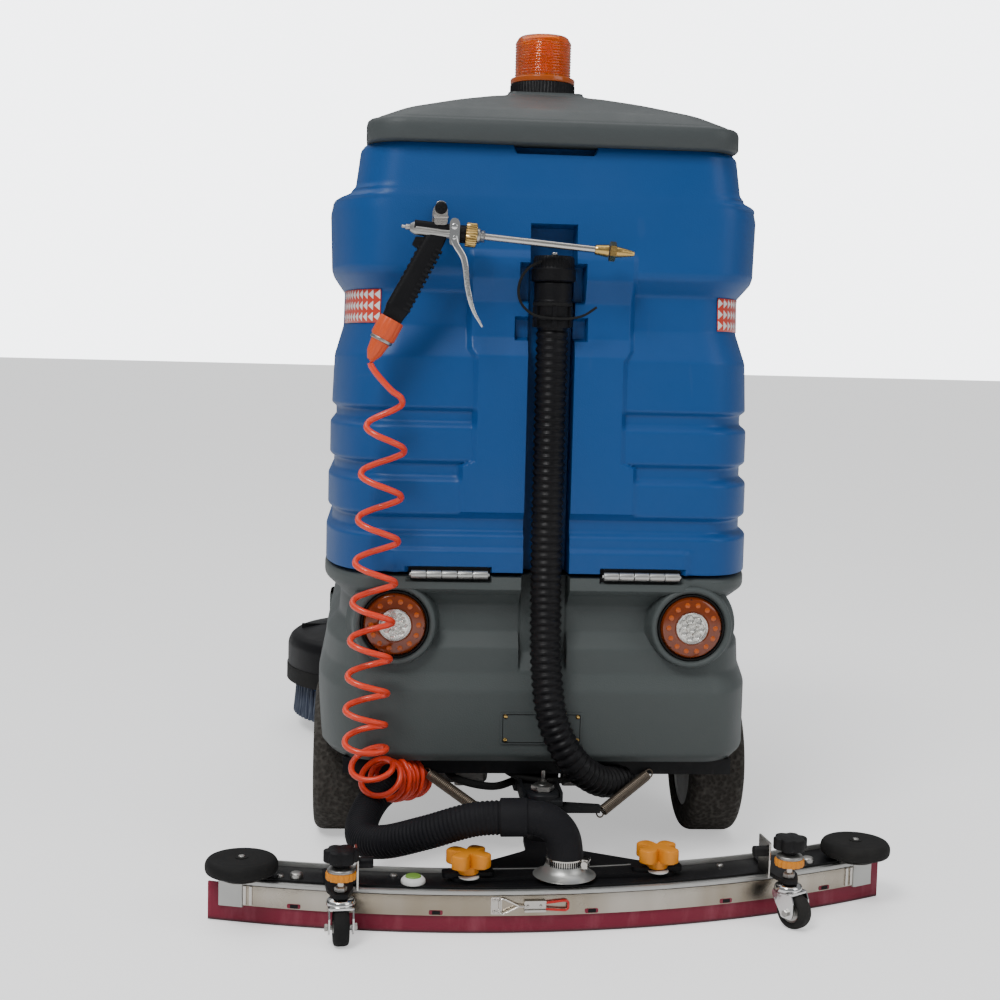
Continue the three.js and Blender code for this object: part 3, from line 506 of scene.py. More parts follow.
FINISH = {
    "blue_plastic": coat_of("blue_plastic", (0.0045, 0.0620, 0.2250), 0.42, dust=0.10, scuffs=0.2, tone=0.05,
                            grain=520.0, relief=0.16, rough_spread=0.06),
    "grey_plastic": coat_of("grey_plastic", (0.064, 0.075, 0.074), 0.5, dust=0.12, scuffs=0.25, tone=0.05,
                            grain=520.0, relief=0.2, rough_spread=0.07),
    "lid_plastic": coat_of("lid_plastic", (0.052, 0.060, 0.061), 0.5, dust=0.12, scuffs=0.25, tone=0.06,
                           grain=420.0, relief=0.3, extra=lid_pattern),
    "black_plastic": coat_of("black_plastic", (0.0050, 0.0050, 0.0060), 0.45, dust=0.12, grain=480.0,
                             relief=0.3),
    "hose_black": coat_of("hose_black", (0.005, 0.005, 0.006), 0.38, dust=0.12, scuffs=0.3, grain=300.0,
                          relief=0.15),
    "hose_dull": coat_of("hose_dull", (0.006, 0.006, 0.008), 0.62, dust=0.14, scuffs=0.2, grain=900.0,
                         relief=0.5),
    "black_rubber": coat_of("black_rubber", (0.009, 0.009, 0.009), 0.7, dust=0.2, grain=700.0, relief=0.4),
    "tyre_rubber": coat_of("tyre_rubber", (0.024, 0.021, 0.017), 0.85, dust=0.35, grain=500.0, relief=0.9,
                           extra=tyre_pattern),
    "frame_enamel": coat_of("frame_enamel", (0.008, 0.009, 0.011), 0.4, dust=0.35, scuffs=0.4, grain=160.0,
                            relief=0.2),
    "cast_aluminium": coat_of("cast_aluminium", (0.260, 0.250, 0.240), 0.5, metal=0.9, dust=0.4, grain=220.0,
                              relief=0.7),
    "satin_aluminium": coat_of("satin_aluminium", (0.480, 0.480, 0.460), 0.38, metal=0.85, dust=0.15,
                               scuffs=0.3,
                               brushed=(1, 1, 30), relief=0.12),
    "stainless": coat_of("stainless", (0.60, 0.57, 0.53), 0.24, metal=1.0, dust=0.12, scuffs=0.4,
                         brushed=(1, 1, 26), relief=0.10, rough_spread=0.08),
    # The band's colour carries brown and pale patches: a painted reflection of the floor.
    "band_steel": coat_of("band_steel", (0.56, 0.52, 0.46), 0.26, metal=1.0, dust=0.1, scuffs=0.3,
                          brushed=(1, 1, 34), relief=0.12, rough_spread=0.1, extra=floor_reflection_paint),
    "chrome_trim": coat_of("chrome_trim", (0.74, 0.74, 0.73), 0.12, metal=1.0, dust=0.14, scuffs=0.35,
                           grain=260.0, relief=0.08, rough_spread=0.06),
    "spring_steel": coat_of("spring_steel", (0.16, 0.13, 0.10), 0.42, metal=0.9, dust=0.3, grain=240.0,
                            relief=0.3),
    "zinc": coat_of("zinc", (0.420, 0.410, 0.390), 0.36, metal=1.0, dust=0.3, grain=240.0, relief=0.25),
    "brass": coat_of("brass", (0.600, 0.400, 0.140), 0.26, metal=1.0, dust=0.12, scuffs=0.4, grain=300.0,
                     relief=0.1),
    "amber_deep": coat_of("amber_deep", (0.17, 0.026, 0.001), 0.2, dust=0.05, grain=300.0, relief=0.1,
                          coat=0.8),
    "amber_flange": coat_of("amber_flange", (0.42, 0.075, 0.002), 0.25, dust=0.1, grain=300.0, relief=0.1,
                            coat=0.5),
    "amber_glow": coat_of("amber_glow", (0.90, 0.22, 0.006), 0.3, dust=0.05, grain=200.0, relief=0.1,
                          coat=0.5,
                          Emission_Color=(1.0, 0.22, 0.006, 1), Emission_Strength=0.12),
    "burgundy_rubber": coat_of("burgundy_rubber", (0.200, 0.010, 0.032), 0.42, dust=0.12, grain=500.0,
                               relief=0.2,
                               extra=blade_pattern),
    "vermilion_plastic": coat_of("vermilion_plastic", (0.780, 0.050, 0.016), 0.28, dust=0.06, scuffs=0.2,
                                 grain=400.0, relief=0.12, coat=0.3),
    "connector_orange": coat_of("connector_orange", (0.66, 0.085, 0.020), 0.38, dust=0.15, scuffs=0.4,
                                grain=400.0, relief=0.15),
    "yellow_plastic": coat_of("yellow_plastic", (0.700, 0.240, 0.010), 0.4, dust=0.15, scuffs=0.3,
                              grain=420.0,
                              relief=0.2),
    "red_plastic": coat_of("red_plastic", (0.52, 0.018, 0.014), 0.3, dust=0.08, grain=420.0, relief=0.12,
                           coat=0.3),
    "green_plastic": coat_of("green_plastic", (0.16, 0.30, 0.05), 0.35, dust=0.2, grain=420.0, relief=0.15),
    "white_nylon": coat_of("white_nylon", (0.66, 0.66, 0.64), 0.42, dust=0.3, grain=420.0, relief=0.15),
    "tape": coat_of("tape", (0.62, 0.045, 0.02), 0.3, dust=0.1, scuffs=0.5, relief=0.1, coat=0.4,
                    extra=tape_pattern),
    "bristle": coat_of("bristle", (0.02, 0.03, 0.06), 0.6, dust=0.2, relief=1.0, extra=bristle_pattern),
    "seat_vinyl": coat_of("seat_vinyl", (0.014, 0.014, 0.015), 0.46, dust=0.1, scuffs=0.15, grain=400.0,
                          relief=0.55, extra=stitched_vinyl),
    # Near-black paint for slots, holes, grooves and recesses, and for parts that sit in them: painted shade.
    "dark_pocket": coat_of("dark_pocket", (0.008, 0.008, 0.009), 0.6, dust=0.1, grain=300.0, relief=0.2),
    "amber_lens": glass_of("amber_lens", (0.92, 0.20, 0.004), 0.04, 0.80, glow=0.02),
    "clear_lens": glass_of("clear_lens", (0.96, 0.95, 0.93), 0.05, 0.85),
    "reflector": coat_of("reflector", (0.85, 0.84, 0.80), 0.14, metal=1.0, dust=0.02, scuffs=0.0,
                         grain=180.0,
                         relief=0.4),
}


def piece(name, body, *groups, bevel=0.0, crease=32, stands_for=(), uv=None):
    """One finished object on one body; where two bodies and two points are given instead, it stays where it
    is built and is not bent. Each group is a finish and its skins, whose points are laid one after another
    and whose faces keep the group's material; doubled points are merged, which closes seams and poles."""
    points, corners, sizes, paints, base = [], [], [], [], 0
    mesh = bpy.data.meshes.new(name)
    for number, (finish, *skins) in enumerate(groups):
        mesh.materials.append(FINISH[finish])
        for skin_points, faces in skins:
            points.append(skin_points)
            for face in faces:
                corners.append((face + base).ravel())
                sizes.append(np.full(len(face), face.shape[1]))
                paints.append(np.full(len(face), number))
            base += len(skin_points)
    corners, sizes, paints = np.concatenate(corners), np.concatenate(sizes), np.concatenate(paints)
    mesh.vertices.add(base)
    mesh.vertices.foreach_set("co", (np.concatenate(points) * MM).astype(np.float32).ravel())
    mesh.loops.add(len(corners))
    mesh.loops.foreach_set("vertex_index", corners.astype(np.int32))
    mesh.polygons.add(len(sizes))
    mesh.polygons.foreach_set("loop_start", np.concatenate([[0], np.cumsum(sizes)[:-1]]).astype(np.int32))
    mesh.polygons.foreach_set("material_index", paints.astype(np.int32))
    mesh.update(calc_edges=True)
    if uv is not None:
        layer = mesh.uv_layers.new(name="UVMap")
        layer.data.foreach_set("uv", (uv * MM)[corners].astype(np.float32).ravel())
    shape = bmesh.new()
    shape.from_mesh(mesh)
    bmesh.ops.remove_doubles(shape, verts=shape.verts, dist=2e-6)
    shape.to_mesh(mesh)
    shape.free()
    mesh.shade_smooth()
    made = bpy.data.objects.new(name, mesh)
    bpy.context.scene.collection.objects.link(made)
    if bevel:
        edge = made.modifiers.new("edges", "BEVEL")
        edge.width, edge.segments, edge.limit_method = bevel * MM, 2, "ANGLE"
        edge.angle_limit, edge.harden_normals = math.radians(crease), True
    else:
        mesh.set_sharp_from_angle(angle=math.radians(crease))
    if isinstance(body, str):
        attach(made, body)
    else:
        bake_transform(made)
    if stands_for:
        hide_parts(*stands_for)
    return made


# Camera, light and floor

def look(place, yaw, pitch, roll, lens):
    """A camera at a place, turned from +Y towards +X by yaw, down by pitch and then about its own line of
    sight."""
    camera = bpy.data.objects.new("camera", bpy.data.cameras.new("camera"))
    camera.data.lens, camera.data.sensor_width = lens, 36
    turn = Matrix.Rotation(math.radians(-yaw), 4, "Z") @ Matrix.Rotation(math.radians(90 - pitch), 4, "X")
    camera.matrix_world = Matrix.Translation(place) @ turn @ Matrix.Rotation(math.radians(roll), 4, "Z")
    bpy.context.scene.collection.objects.link(camera)
    bpy.context.scene.camera = camera


def soft_light(name, place, aim, power, size, colour=(1, 1, 1)):
    """A square soft box that faces a point."""
    lamp = bpy.data.lights.new(name, "AREA")
    lamp.energy, lamp.size, lamp.color = power, size, colour
    holder = bpy.data.objects.new(name, lamp)
    holder.location = place
    holder.rotation_euler = (Vector(aim) - Vector(place)).to_track_quat("-Z", "Y").to_euler()
    bpy.context.scene.collection.objects.link(holder)


def studio():
    """A pale floor, an even pale sky, a broad overhead light and two soft boxes."""
    points, faces = woven(np.array([[(-90, -90, 0), (90, -90, 0)], [(-90, 90, 0), (90, 90, 0)]], float),
                          False, False)
    mesh = bpy.data.meshes.new("floor")
    mesh.from_pydata(points.tolist(), [], faces[0].tolist())
    floor = bpy.data.objects.new("floor", mesh)
    bpy.context.scene.collection.objects.link(floor)
    paint = bpy.data.materials.new("floor_paint")
    paint.use_nodes = True
    tree = paint.node_tree
    place = node(tree, "TexCoord").outputs["Object"]
    tint = blended(tree, noise(tree, place, 0.8), (0.90, 0.90, 0.90), (0.94, 0.94, 0.94))
    tree.links.new(tint, tree.nodes["Principled BSDF"].inputs["Base Color"])
    tree.nodes["Principled BSDF"].inputs["Roughness"].default_value = 0.85
    tree.nodes["Principled BSDF"].inputs["Emission Color"].default_value = (1, 1, 1, 1)
    glow = node(tree, "MapRange", {"Value": node(tree, "LightPath").outputs["Is Camera Ray"],
                                   "To Max": 0.55}).outputs[0]
    tree.links.new(glow, tree.nodes["Principled BSDF"].inputs["Emission Strength"])
    mesh.materials.append(paint)
    sky = bpy.data.worlds.new("sky")
    sky.use_nodes = True
    sky.node_tree.nodes["Background"].inputs[0].default_value = (0.95, 0.97, 1.0, 1)
    # What the eye sees of the sky is white; what it lends the object is dimmer
    path = sky.node_tree.nodes.new("ShaderNodeLightPath").outputs["Is Camera Ray"]
    strength = node(sky.node_tree, "MapRange", {"Value": path, "To Min": 0.28, "To Max": 5.0}).outputs[0]
    sky.node_tree.links.new(strength, sky.node_tree.nodes["Background"].inputs[1])
    bpy.context.scene.world = sky
    soft_light("key", (-1.7, -3.4, 4.2), (0, -0.5, 0.5), 150, 1.6)
    soft_light("fill", (3.0, -2.6, 2.6), (0, -0.4, 0.6), 32, 2.2)
    overhead = bpy.data.lights.new("overhead", "SUN")
    overhead.energy, overhead.angle = 1.5, math.radians(75)
    holder = bpy.data.objects.new("overhead", overhead)
    holder.rotation_euler = (math.radians(-14), math.radians(-8), 0)
    bpy.context.scene.collection.objects.link(holder)


look((-0.25, -2.948, 0.79), 4.35, 5.22, 1.404, 56.9)
studio()


# Hoses: the three free ones

def ribbed(route, radius, pitch, depth, up):
    """A hose whose radius swings between radius - depth and radius once a pitch, as a flattened cosine of
    the way along its route."""
    rough = flowing(route, 200)
    count = int(round(length_of(rough) / MM / pitch)) * 8
    path = flowing(route, count)
    swing = 0.5 + 0.5 * np.cos(np.linspace(0, 2 * np.pi * count / 8, count + 1))
    return carried(path, ring(1, 36), up, radius - depth * (1 - swing ** 0.7)), path


drain_skin, drain_path = ribbed(DRAIN_ROUTE, 24.2, 11.4, 3.0, (1, 0.3, 0))
drain_hose = piece("drain_hose_ribbed", ("chassis", "tank", (0, -0.62, 0.25), (0, -0.6, 0.55)),
                   ("hose_black", drain_skin), crease=80, stands_for=("drain_hose",))

suction_skin, suction_path = ribbed(SUCTION_ROUTE, 24.2, 6.1, 1.5, (0, 0, 1))
suction_hose = piece("suction_hose_ribbed",
                     ("squeegee", "squeegee_arm", (-0.1, -0.80, 0.14), (-0.21, -0.55, 0.13)),
                     ("hose_dull", suction_skin), crease=80, stands_for=("suction_hose",))


def coil_path():
    """The spray hose's middle line. A lead bends out of the connector into open turns about an upright line:
    x = a + r cos t, y = b + r sin t, the fall of each turn shrinking from 75 mm to 36. The same turning goes
    on into the bunch, where the axis leans by a smooth step until it points in under the body and to the
    right, and six turns lie 11 mm apart, the last one rising to the frame."""
    t = np.linspace(0.0, 18.5, 37 * 12 + 1)
    lean = ramp(t, 8.4, 12.4)
    tilt = lean * math.radians(84)
    pitch = mixed(75 - 3.4 * np.minimum(t, 11), 11.0, ramp(t, 10.0, 12.2))
    side = np.array([0.62, 0.785, 0.0])
    axis = np.sin(tilt)[:, None] * side - np.cos(tilt)[:, None] * np.array([[0, 0, 1.0]])
    drift = np.interp(t, [0, 9.6, 10.4, 19], [-0.05, -0.05, 0, 0])
    centre = np.array([-241.0, GUN_Y, 757.0]) + np.cumsum(
        (axis + drift[:, None] * np.array([[1.0, 0, 0]])) * (np.gradient(t) * pitch)[:, None], axis=0)
    swell = np.interp(t, [0, 0.6, 1.5, 19], [17, 25, 31, 30]) + 1.8 * np.sin(2.4 * t) * lean
    first = np.array([[1.0, 0, 0]]) - (axis @ np.array([1.0, 0, 0]))[:, None] * axis
    first /= np.linalg.norm(first, axis=1, keepdims=True)
    second = np.cross(axis, first)
    angle = np.pi * 1.1 + 2 * np.pi * t
    deep = (0.62 + 0.38 * lean) * swell * ramp(t, -0.2, 1.0)
    turns = centre + (swell * np.cos(angle))[:, None] * first - (deep * np.sin(angle))[:, None] * second
    lead = np.array([(-264.6, GUN_Y, 782), (-267.5, GUN_Y, 774)])
    last, way = turns[-1], unit(turns[-1] - turns[-4])
    tail = np.array([last + way * 8 + side, last + way * 16 + side * 3])
    return flowing(np.concatenate([lead, turns[6::3], tail]), 780)


GRIP_TOP, GRIP_RUN = np.array((-176, GUN_Y, 957)), unit(np.array((-61, 0, -118.0)))


def hose_coupler():
    """The spray hose's connector at the foot of the gun's grip: a ribbed sleeve, a grey ring and a tapering
    tail."""
    at, turn = GRIP_TOP + GRIP_RUN * 133.8, facing(GRIP_RUN)
    sleeve = fluted([(0, 0, 0), (17.5, 0, 0), (18.4, 2, 1), (18.4, 28, 1), (16, 31, 0), (0, 31, 0)], 12, 1.1,
                    120)
    band = turned(eased([(0, 31), (16.8, 31), (17, 35), (15, 36), (0, 36)], 0.5), 64)
    tail = fluted([(0, 36, 0), (14.6, 36, 0), (13.6, 40, 1), (11.6, 54, 1), (7.6, 62, 0), (5.2, 66, 0),
                   (0, 66, 0)],
                  10, 1.2, 100)
    return piece("hose_coupler", "tank", ("connector_orange", placed(sleeve, turn, at),
                                          placed(tail, turn, at)),
                 ("zinc", placed(band, turn, at)), stands_for=("hose_connector",), crease=38)


coupler = hose_coupler()
coil_line = coil_path()
coil_hose = piece("coil_hose_turns", ("tank", "chassis", (-0.26, -0.648, 0.70), (-0.26, -0.648, 0.25)),
                  ("vermilion_plastic", carried(coil_line, ring(4.6, 12), (0.05, 0.04, 1))), crease=80,
                  stands_for=("coil_hose",))


# Bodywork: level outlines woven into shells

def softened(z, knots, values, reach=4.0):
    """A broken line's value at z, averaged over a stretch of reach above and below, which rounds its
    corners."""
    spread = np.linspace(-reach, reach, 9)
    return np.interp(z[:, None] + spread, knots, values).mean(axis=1)


def outlines(rows, stations, corner=18, side=34, front_corner=10, front_steps=8):
    """Level outlines as a grid of points. A row is (z, half width, rear, front, corner across, corner along,
    front corner). From the middle of the back the right half is: stations along the straight back, drawn in
    where the row is too narrow for them; a corner x = sin^0.87 t, y = 1 - cos^0.87 t; the side; a quarter
    circle; and the front. The left half mirrors it."""
    z, half, rear, front, corner_x, corner_y, round_off = (c[:, None] for c in np.array(rows, float).T)
    stations = np.asarray(stations, float)
    reach = half - corner_x
    back = stations[None] * np.minimum(reach / stations[-1], 1)
    gap = np.linspace(0, 1, 6)[None, 1:]
    gap = np.minimum(stations[-1], reach) + gap * np.maximum(reach - stations[-1], 0.0)
    t = np.linspace(0, np.pi / 2, corner + 1)[None, 1:]
    power = 2 / 2.3
    cos_t = np.clip(np.cos(t), 0, 1)
    bend_x = reach + corner_x * np.sin(t) ** power
    bend_y = rear + corner_y - corner_y * cos_t ** power
    s = np.linspace(0, 1, side + 1)[None, 1:]
    side_y = mixed(rear + corner_y, front - round_off, s)
    t = np.linspace(0, np.pi / 2, front_corner + 1)[None, 1:]
    turn_x = half - round_off + round_off * np.cos(t)
    turn_y = front - round_off + round_off * np.sin(t)
    s = np.linspace(1, 0, front_steps + 1)[None, 1:]
    end_x = (half - round_off) * s
    flat = np.ones_like(z)
    x = np.concatenate([back, gap, bend_x, flat * half * np.ones_like(side_y), turn_x, end_x], axis=1)
    y = np.concatenate([rear + 0 * back, rear + 0 * gap, bend_y, side_y, turn_y, front + 0 * end_x], axis=1)
    x = np.concatenate([x, -x[:, -2:0:-1]], axis=1)
    y = np.concatenate([y, y[:, -2:0:-1]], axis=1)
    return np.stack([x, y, np.broadcast_to(z, x.shape)], axis=-1)


def columns_at(edges, last, step=5.0):
    """Even stations from 0 to last, with closer ones on both sides of every edge."""
    near = np.concatenate([np.array(edges) + d for d in (-4.5, -3, -1.5, 0, 1.5, 3, 4.5)])
    return np.unique(np.round(np.clip(np.concatenate([np.arange(0, last + 1, step), near]), 0, last), 2))


TANK_ROWS = np.array([
    (465, 336, 0), (520, 336, 0), (527, 327, 9), (547, 327, 9), (551, 334, 1), (601, 334, 1), (609, 325, 9),
    (627, 325, 9), (631, 332, 2), (682, 332, 2), (690, 323, 10), (706, 323, 10), (710, 330, 3),
    (786, 327, 5),
    (833, 314, 22), (884, 313, 23), (908, 330, 2), (918, 333, 0), (1004, 336, 5), (1022, 332, 6),
    (1030, 305, 7), (1040, 296, 8), (1094, 289, 12), (1100, 284, 16),
], float)


def tank_rear(points):
    """What stands on and cuts into the tank's back, as the depth of its rear wall: the centre panel with its
    own lip, hollow and slope; its wider foot; the hinge ledge; the hose's channel with two cross pockets,
    each a window in x times a window in z; the slots for the hinges; and the notch for the fingers, which
    lowers the rim between two sloping sides."""
    x, y, z = points[..., 0].copy(), points[..., 1].copy(), points[..., 2].copy()
    wide = np.abs(x)
    rear = (y < -555) & (z > 464)
    panel_half = np.interp(z, [552, 625, 633, 785, 800, 944], [128, 128, 108, 108, 118, 119])
    panel_y = np.interp(z, [552, 556, 625, 790, 818, 870, 903, 934, 944, 950],
                        [-596, -602, -602.5, -602.5, -589, -588, -603, -603, -599.5, -596])
    panel = ramp(panel_half + 8 - wide, 0, 8) * window(z, 552, 944, 3)
    y = np.where(rear, mixed(y, np.minimum(panel_y, y + 12), panel), y)
    ledge = window(x, -232, 214, 5) * window(z, 465, 497, 6)
    y = np.where(rear, mixed(y, np.minimum(y, -606), ledge), y)
    channel = window(x, -32.5, 32.5, 2.5) * window(z, 400, 982, 3)
    y = np.where(rear, mixed(y, -562, channel), y)
    upper = window(x, -47, 47, 2.5) * window(z, 873, 924, 3)
    y = np.where(rear, mixed(y, np.maximum(y, -570), upper), y)
    lower = window(x, -52, 52, 2.5) * window(z, 816, 846, 3)
    y = np.where(rear, mixed(y, np.maximum(y, -574), lower), y)
    slots = window(wide, HINGE_X - 62, HINGE_X + 62, 1.5) * window(z, 400, 472, 2)
    y = np.where(rear, mixed(y, -597, slots), y)
    notch = ramp(63 - wide, 0, 6) * (y < -557)
    z = mixed(z, np.minimum(z, 1087), notch)
    return np.stack([x, y, z], axis=-1)


def tank_skin():
    """Softened wall outlines up to the rim, then outlines that turn over it and down into the mouth."""
    z = np.unique(np.concatenate([np.arange(465, 1100.1, 2.4), np.arange(1086, 1100, 1.5)]))
    half = softened(z, TANK_ROWS[:, 0], TANK_ROWS[:, 1], 2.6)
    inset = softened(z, TANK_ROWS[:, 0], TANK_ROWS[:, 2], 2.6)
    upper = ramp(z, 1018, 1034)
    rows = np.column_stack([z, half, REAR_Y + inset, np.full(len(z), -120.0), mixed(95.0, 70.0, upper),
                            mixed(220.0, 110.0, upper), np.full(len(z), 40.0)])
    rim = [(1100, 276, -576, -130, 66, 100, 38), (1100, 262, -558, -140, 62, 90, 36),
           (1100, 261, -556, -141, 62, 90, 36), (1100, 215, -549, -168, 52, 56, 40),
           (1096, 206, -545.5, -174, 50, 50, 40), (1088, 205, -545, -175, 50, 50, 40),
           (850, 203, -543, -177, 50, 50, 40), (822, 196, -536, -184, 50, 50, 40),
           (815, 180, -520, -200, 45, 45, 30)]
    base = [(466, 300, -560, -150, 80, 180, 30)]
    grid = outlines(np.concatenate([base, rows, rim]), columns_at([32.5, 47, 52, 63, 83, 108, 119, 128],
                                                                  207))
    return woven(tank_rear(grid))


def seat_base_skin():
    """The low front half of the tank: outlines that draw in towards its round-edged top."""
    rows = [(465, 318, -240, 224, 20, 20, 50), (468, 330, -240, 236, 20, 20, 60),
            (474, 332, -240, 238, 20, 20, 60),
            (655, 330, -240, 236, 20, 20, 60), (672, 327, -240, 233, 20, 20, 58),
            (683, 321, -240, 227, 20, 20, 54),
            (689, 311, -240, 217, 20, 20, 50), (690, 300, -240, 206, 20, 20, 46)]
    return woven(outlines(rows, np.arange(0, 201, 20.0), 6, 30, 12, 8))


piece("tank_shell", "tank", ("blue_plastic", tank_skin(), seat_base_skin()), stands_for=("recovery_tank",),
      crease=40)


HOUSING_ROWS = np.array([
    (175, 337, 8), (185, 345, 0), (283, 345, 0), (311, 336, 10), (348, 334, 12), (372, 314, 28),
    (412, 312, 28), (439, 338, 2), (456, 338, 2), (460, 334, 6),
], float)


def housing_rear(points):
    """The ledge under the tank's own, the slots for the hinges, the hose's channel down the back and hollows
    behind the lamps, each a window in x times a window in z."""
    x, y, z = points[..., 0].copy(), points[..., 1].copy(), points[..., 2].copy()
    rear = y < -560
    channel_y = np.interp(z, [300, 340, 500], [-600, -571, -571])
    ledge = window(x, -232, 214, 5) * ramp(z, 430, 440)
    y = np.where(rear, mixed(y, np.minimum(y, -606), ledge), y)
    slots = window(np.abs(x), HINGE_X - 62, HINGE_X + 62, 1.5) * ramp(z, 451, 453)
    y = np.where(rear, mixed(y, np.maximum(y, -596.5), slots), y)
    channel = window(x, -34, 34, 3) * ramp(z, 298, 303)
    y = np.where(rear, mixed(y, np.maximum(y, channel_y), channel), y)
    lamp = ramp(54 - np.hypot(np.abs(x) - LAMP_X, z - LAMP_Z), 0, 4)
    y = np.where(rear, mixed(y, np.maximum(y, -574), lamp), y)
    return np.stack([x, y, z], axis=-1)


def arched(points):
    """Side points lifted to the wheel arch's line, z = 125 + sqrt(146^2 - (y + 350)^2), where they lie below
    it."""
    x, y, z = (points[..., k] for k in range(3))
    arch = TYRE_RADIUS + np.sqrt(np.maximum(146.0 ** 2 - (y - AXLE_Y) ** 2, 0))
    under = (np.abs(x) > 240) & (np.abs(y - AXLE_Y) < 146)
    return np.stack([x, y, np.where(under, np.maximum(z, arch), z)], axis=-1)


def housing_skin():
    """Softened outlines from the inner lip under the skirt, up the wall, over the rim and down the battery
    bay."""
    z = np.arange(175, 460.1, 2.6)
    half = softened(z, HOUSING_ROWS[:, 0], HOUSING_ROWS[:, 1], 3.2)
    inset = softened(z, HOUSING_ROWS[:, 0], HOUSING_ROWS[:, 2], 3.2)
    rows = np.column_stack([z, half, REAR_Y + inset, 250 - inset / 2, np.full(len(z), 95.0),
                            np.full(len(z), 240.0), np.full(len(z), 40.0)])
    lip = [(300, 318, -572, 224, 88, 226, 30), (182, 326, -582, 236, 92, 232, 34),
           (176, 331, -587, 242, 93, 236, 38)]
    rim = [(461, 328, -590, 241, 92, 232, 36), (461, 240, -548, 232, 46, 46, 30),
           (458, 234, -544, 232, 40, 40, 26),
           (332, 232, -543, 232, 40, 40, 26), (330, 200, -500, 200, 40, 40, 26)]
    stations = columns_at([34, 83], 190, 5.0)
    grid = outlines(np.concatenate([lip, rows, rim]), stations, 22, 110, 8, 8)
    wall = slice(1, 3 + len(z))
    grid[wall] = arched(housing_rear(grid[wall]))
    grid[0] = arched(grid[0])
    # The front end stands over the scrub deck, so its lower edge is high there
    front = (grid[..., 1] > 128) & (grid[..., 2] < 318)
    grid[..., 2] = np.where(front, 318, grid[..., 2])
    return woven(grid, ends=False)


def lamp_surround(side):
    """A round collar that grows out of the wall to a rolled lip, turned about the lamp's own line."""
    profile = eased([(74, 0), (67, 6), (63.5, 26), (62, 35), (58, 38), (53.5, 36), (51.8, 31), (51.5, 18),
                     (50, 18)],
                    3.0, 4)
    return standing(profile, (side * LAMP_X, -568, LAMP_Z), (0, -1, 0), 72)


# The near-black slab across the battery bay's floor is painted shade.
piece("housing_shell", "chassis", ("grey_plastic", housing_skin(), lamp_surround(-1), lamp_surround(1)),
      ("dark_pocket", block(-205, 205, -500, 205, 320, 331)), stands_for=("rear_housing",), crease=40)


def lid_skin():
    """Scaled outlines about the lid's middle: a rounded skirt, then a crown whose scale falls as it rises.
    The scale at each height is a softened line through the skirt's top, the shoulders and the flat for the
    lamp."""
    drop = np.array([(0, 0.985, 0.985), (1.2, 0.993, 0.992), (4, 1, 1), (24, 1, 1), (30, 0.994, 0.995),
                     (33, 0.982, 0.986)])
    rise = np.linspace(0, 1, 40)
    knots = np.array([0, 0.3, 0.62, 0.86, 0.90, 1.0])
    wide = np.interp(rise, knots, [0.967, 0.80, 0.53, 0.29, 0.22, 0.21])
    deep = np.interp(rise, knots, [0.972, 0.84, 0.58, 0.34, 0.25, 0.24])
    kernel = np.ones(5) / 5
    wide, deep = (np.convolve(np.pad(v, 2, mode="edge"), kernel, "valid") for v in (wide, deep))
    rows = np.concatenate([drop, np.column_stack([34.5 + 70 * rise, wide, deep]), [(104.5, 0.02, 0.02)]])
    grid = outlines([(1100.3, 280, -606, -112, 60, 60, 60)], np.arange(0, 205, 20.0), 14, 20, 12, 8)
    grid = np.repeat(grid, len(rows), axis=0)
    middle = np.array([0, -360.0])
    grid[..., :2] = middle + (grid[..., :2] - middle) * rows[:, None, 1:]
    grid[..., 2] += rows[:, None, 0]
    return woven(grid)


piece("lid_shell", "lid", ("lid_plastic", lid_skin()), stands_for=("tank_lid",), crease=50)


# Beacon

def beacon():
    """A knurled base on a thin washer, a flange and a ribbed lens with a chamfered top over a lit core."""
    at = (0, AXLE_Y, LID_TOP_Z)
    base = fluted([(0, 1, 0), (52.5, 1, 0), (52.5, 3, 1), (52.5, 20, 1), (51, 21.5, 0), (0, 21.5, 0)], 60,
                  1.8, 240)
    washer = turned([(0, 0.3), (56, 0.3), (56, 1.4), (53, 2.0), (0, 2.0)], 72)
    piece("beacon_foot", "lid", ("black_plastic", placed(base, shift=at)),
          ("zinc", placed(washer, shift=at)),
          stands_for=("beacon_base",), crease=50)
    flange = turned(eased([(0, 21.8), (51.5, 21.8), (52, 24), (52, 30), (48, 32), (46, 33), (0, 33)], 1.0),
                    96)
    z = np.linspace(33, 86, 220)
    ribs = 45.4 - 1.1 * np.abs(np.sin(np.pi * (z - 33) / 4.4)) ** 0.7
    outer = np.column_stack([ribs, z])
    top = [(44.4, 88.5), (40.5, 95), (38, 97), (30, 98), (0, 98)]
    inner = [(0, 94), (36, 93), (41, 86), (41.5, 34), (0, 34)]
    shell = turned(np.concatenate([[(46, 33)], outer, top]), 96)
    hollow = placed(turned(inner[::-1], 64))
    hollow = (hollow[0], [face[:, ::-1] for face in hollow[1]])
    core = fluted([(0, 34, 0), (17, 34, 1), (15, 60, 1), (12, 84, 1), (0, 86, 0)], 10, 3.0, 80)
    rings = [turned([(0, h), (24, h), (26, h + 2), (24, h + 4), (0, h + 4)], 48) for h in (40, 62, 80)]
    piece("beacon_dome", "lid", ("amber_lens", *(placed(s, shift=at) for s in (shell, hollow))),
          ("amber_flange", placed(flange, shift=at)),
          ("amber_glow", *(placed(s, shift=at) for s in (core, *rings))), stands_for=("beacon_lens",),
          crease=60)


beacon()


# Tail lamps, name plate and hinges

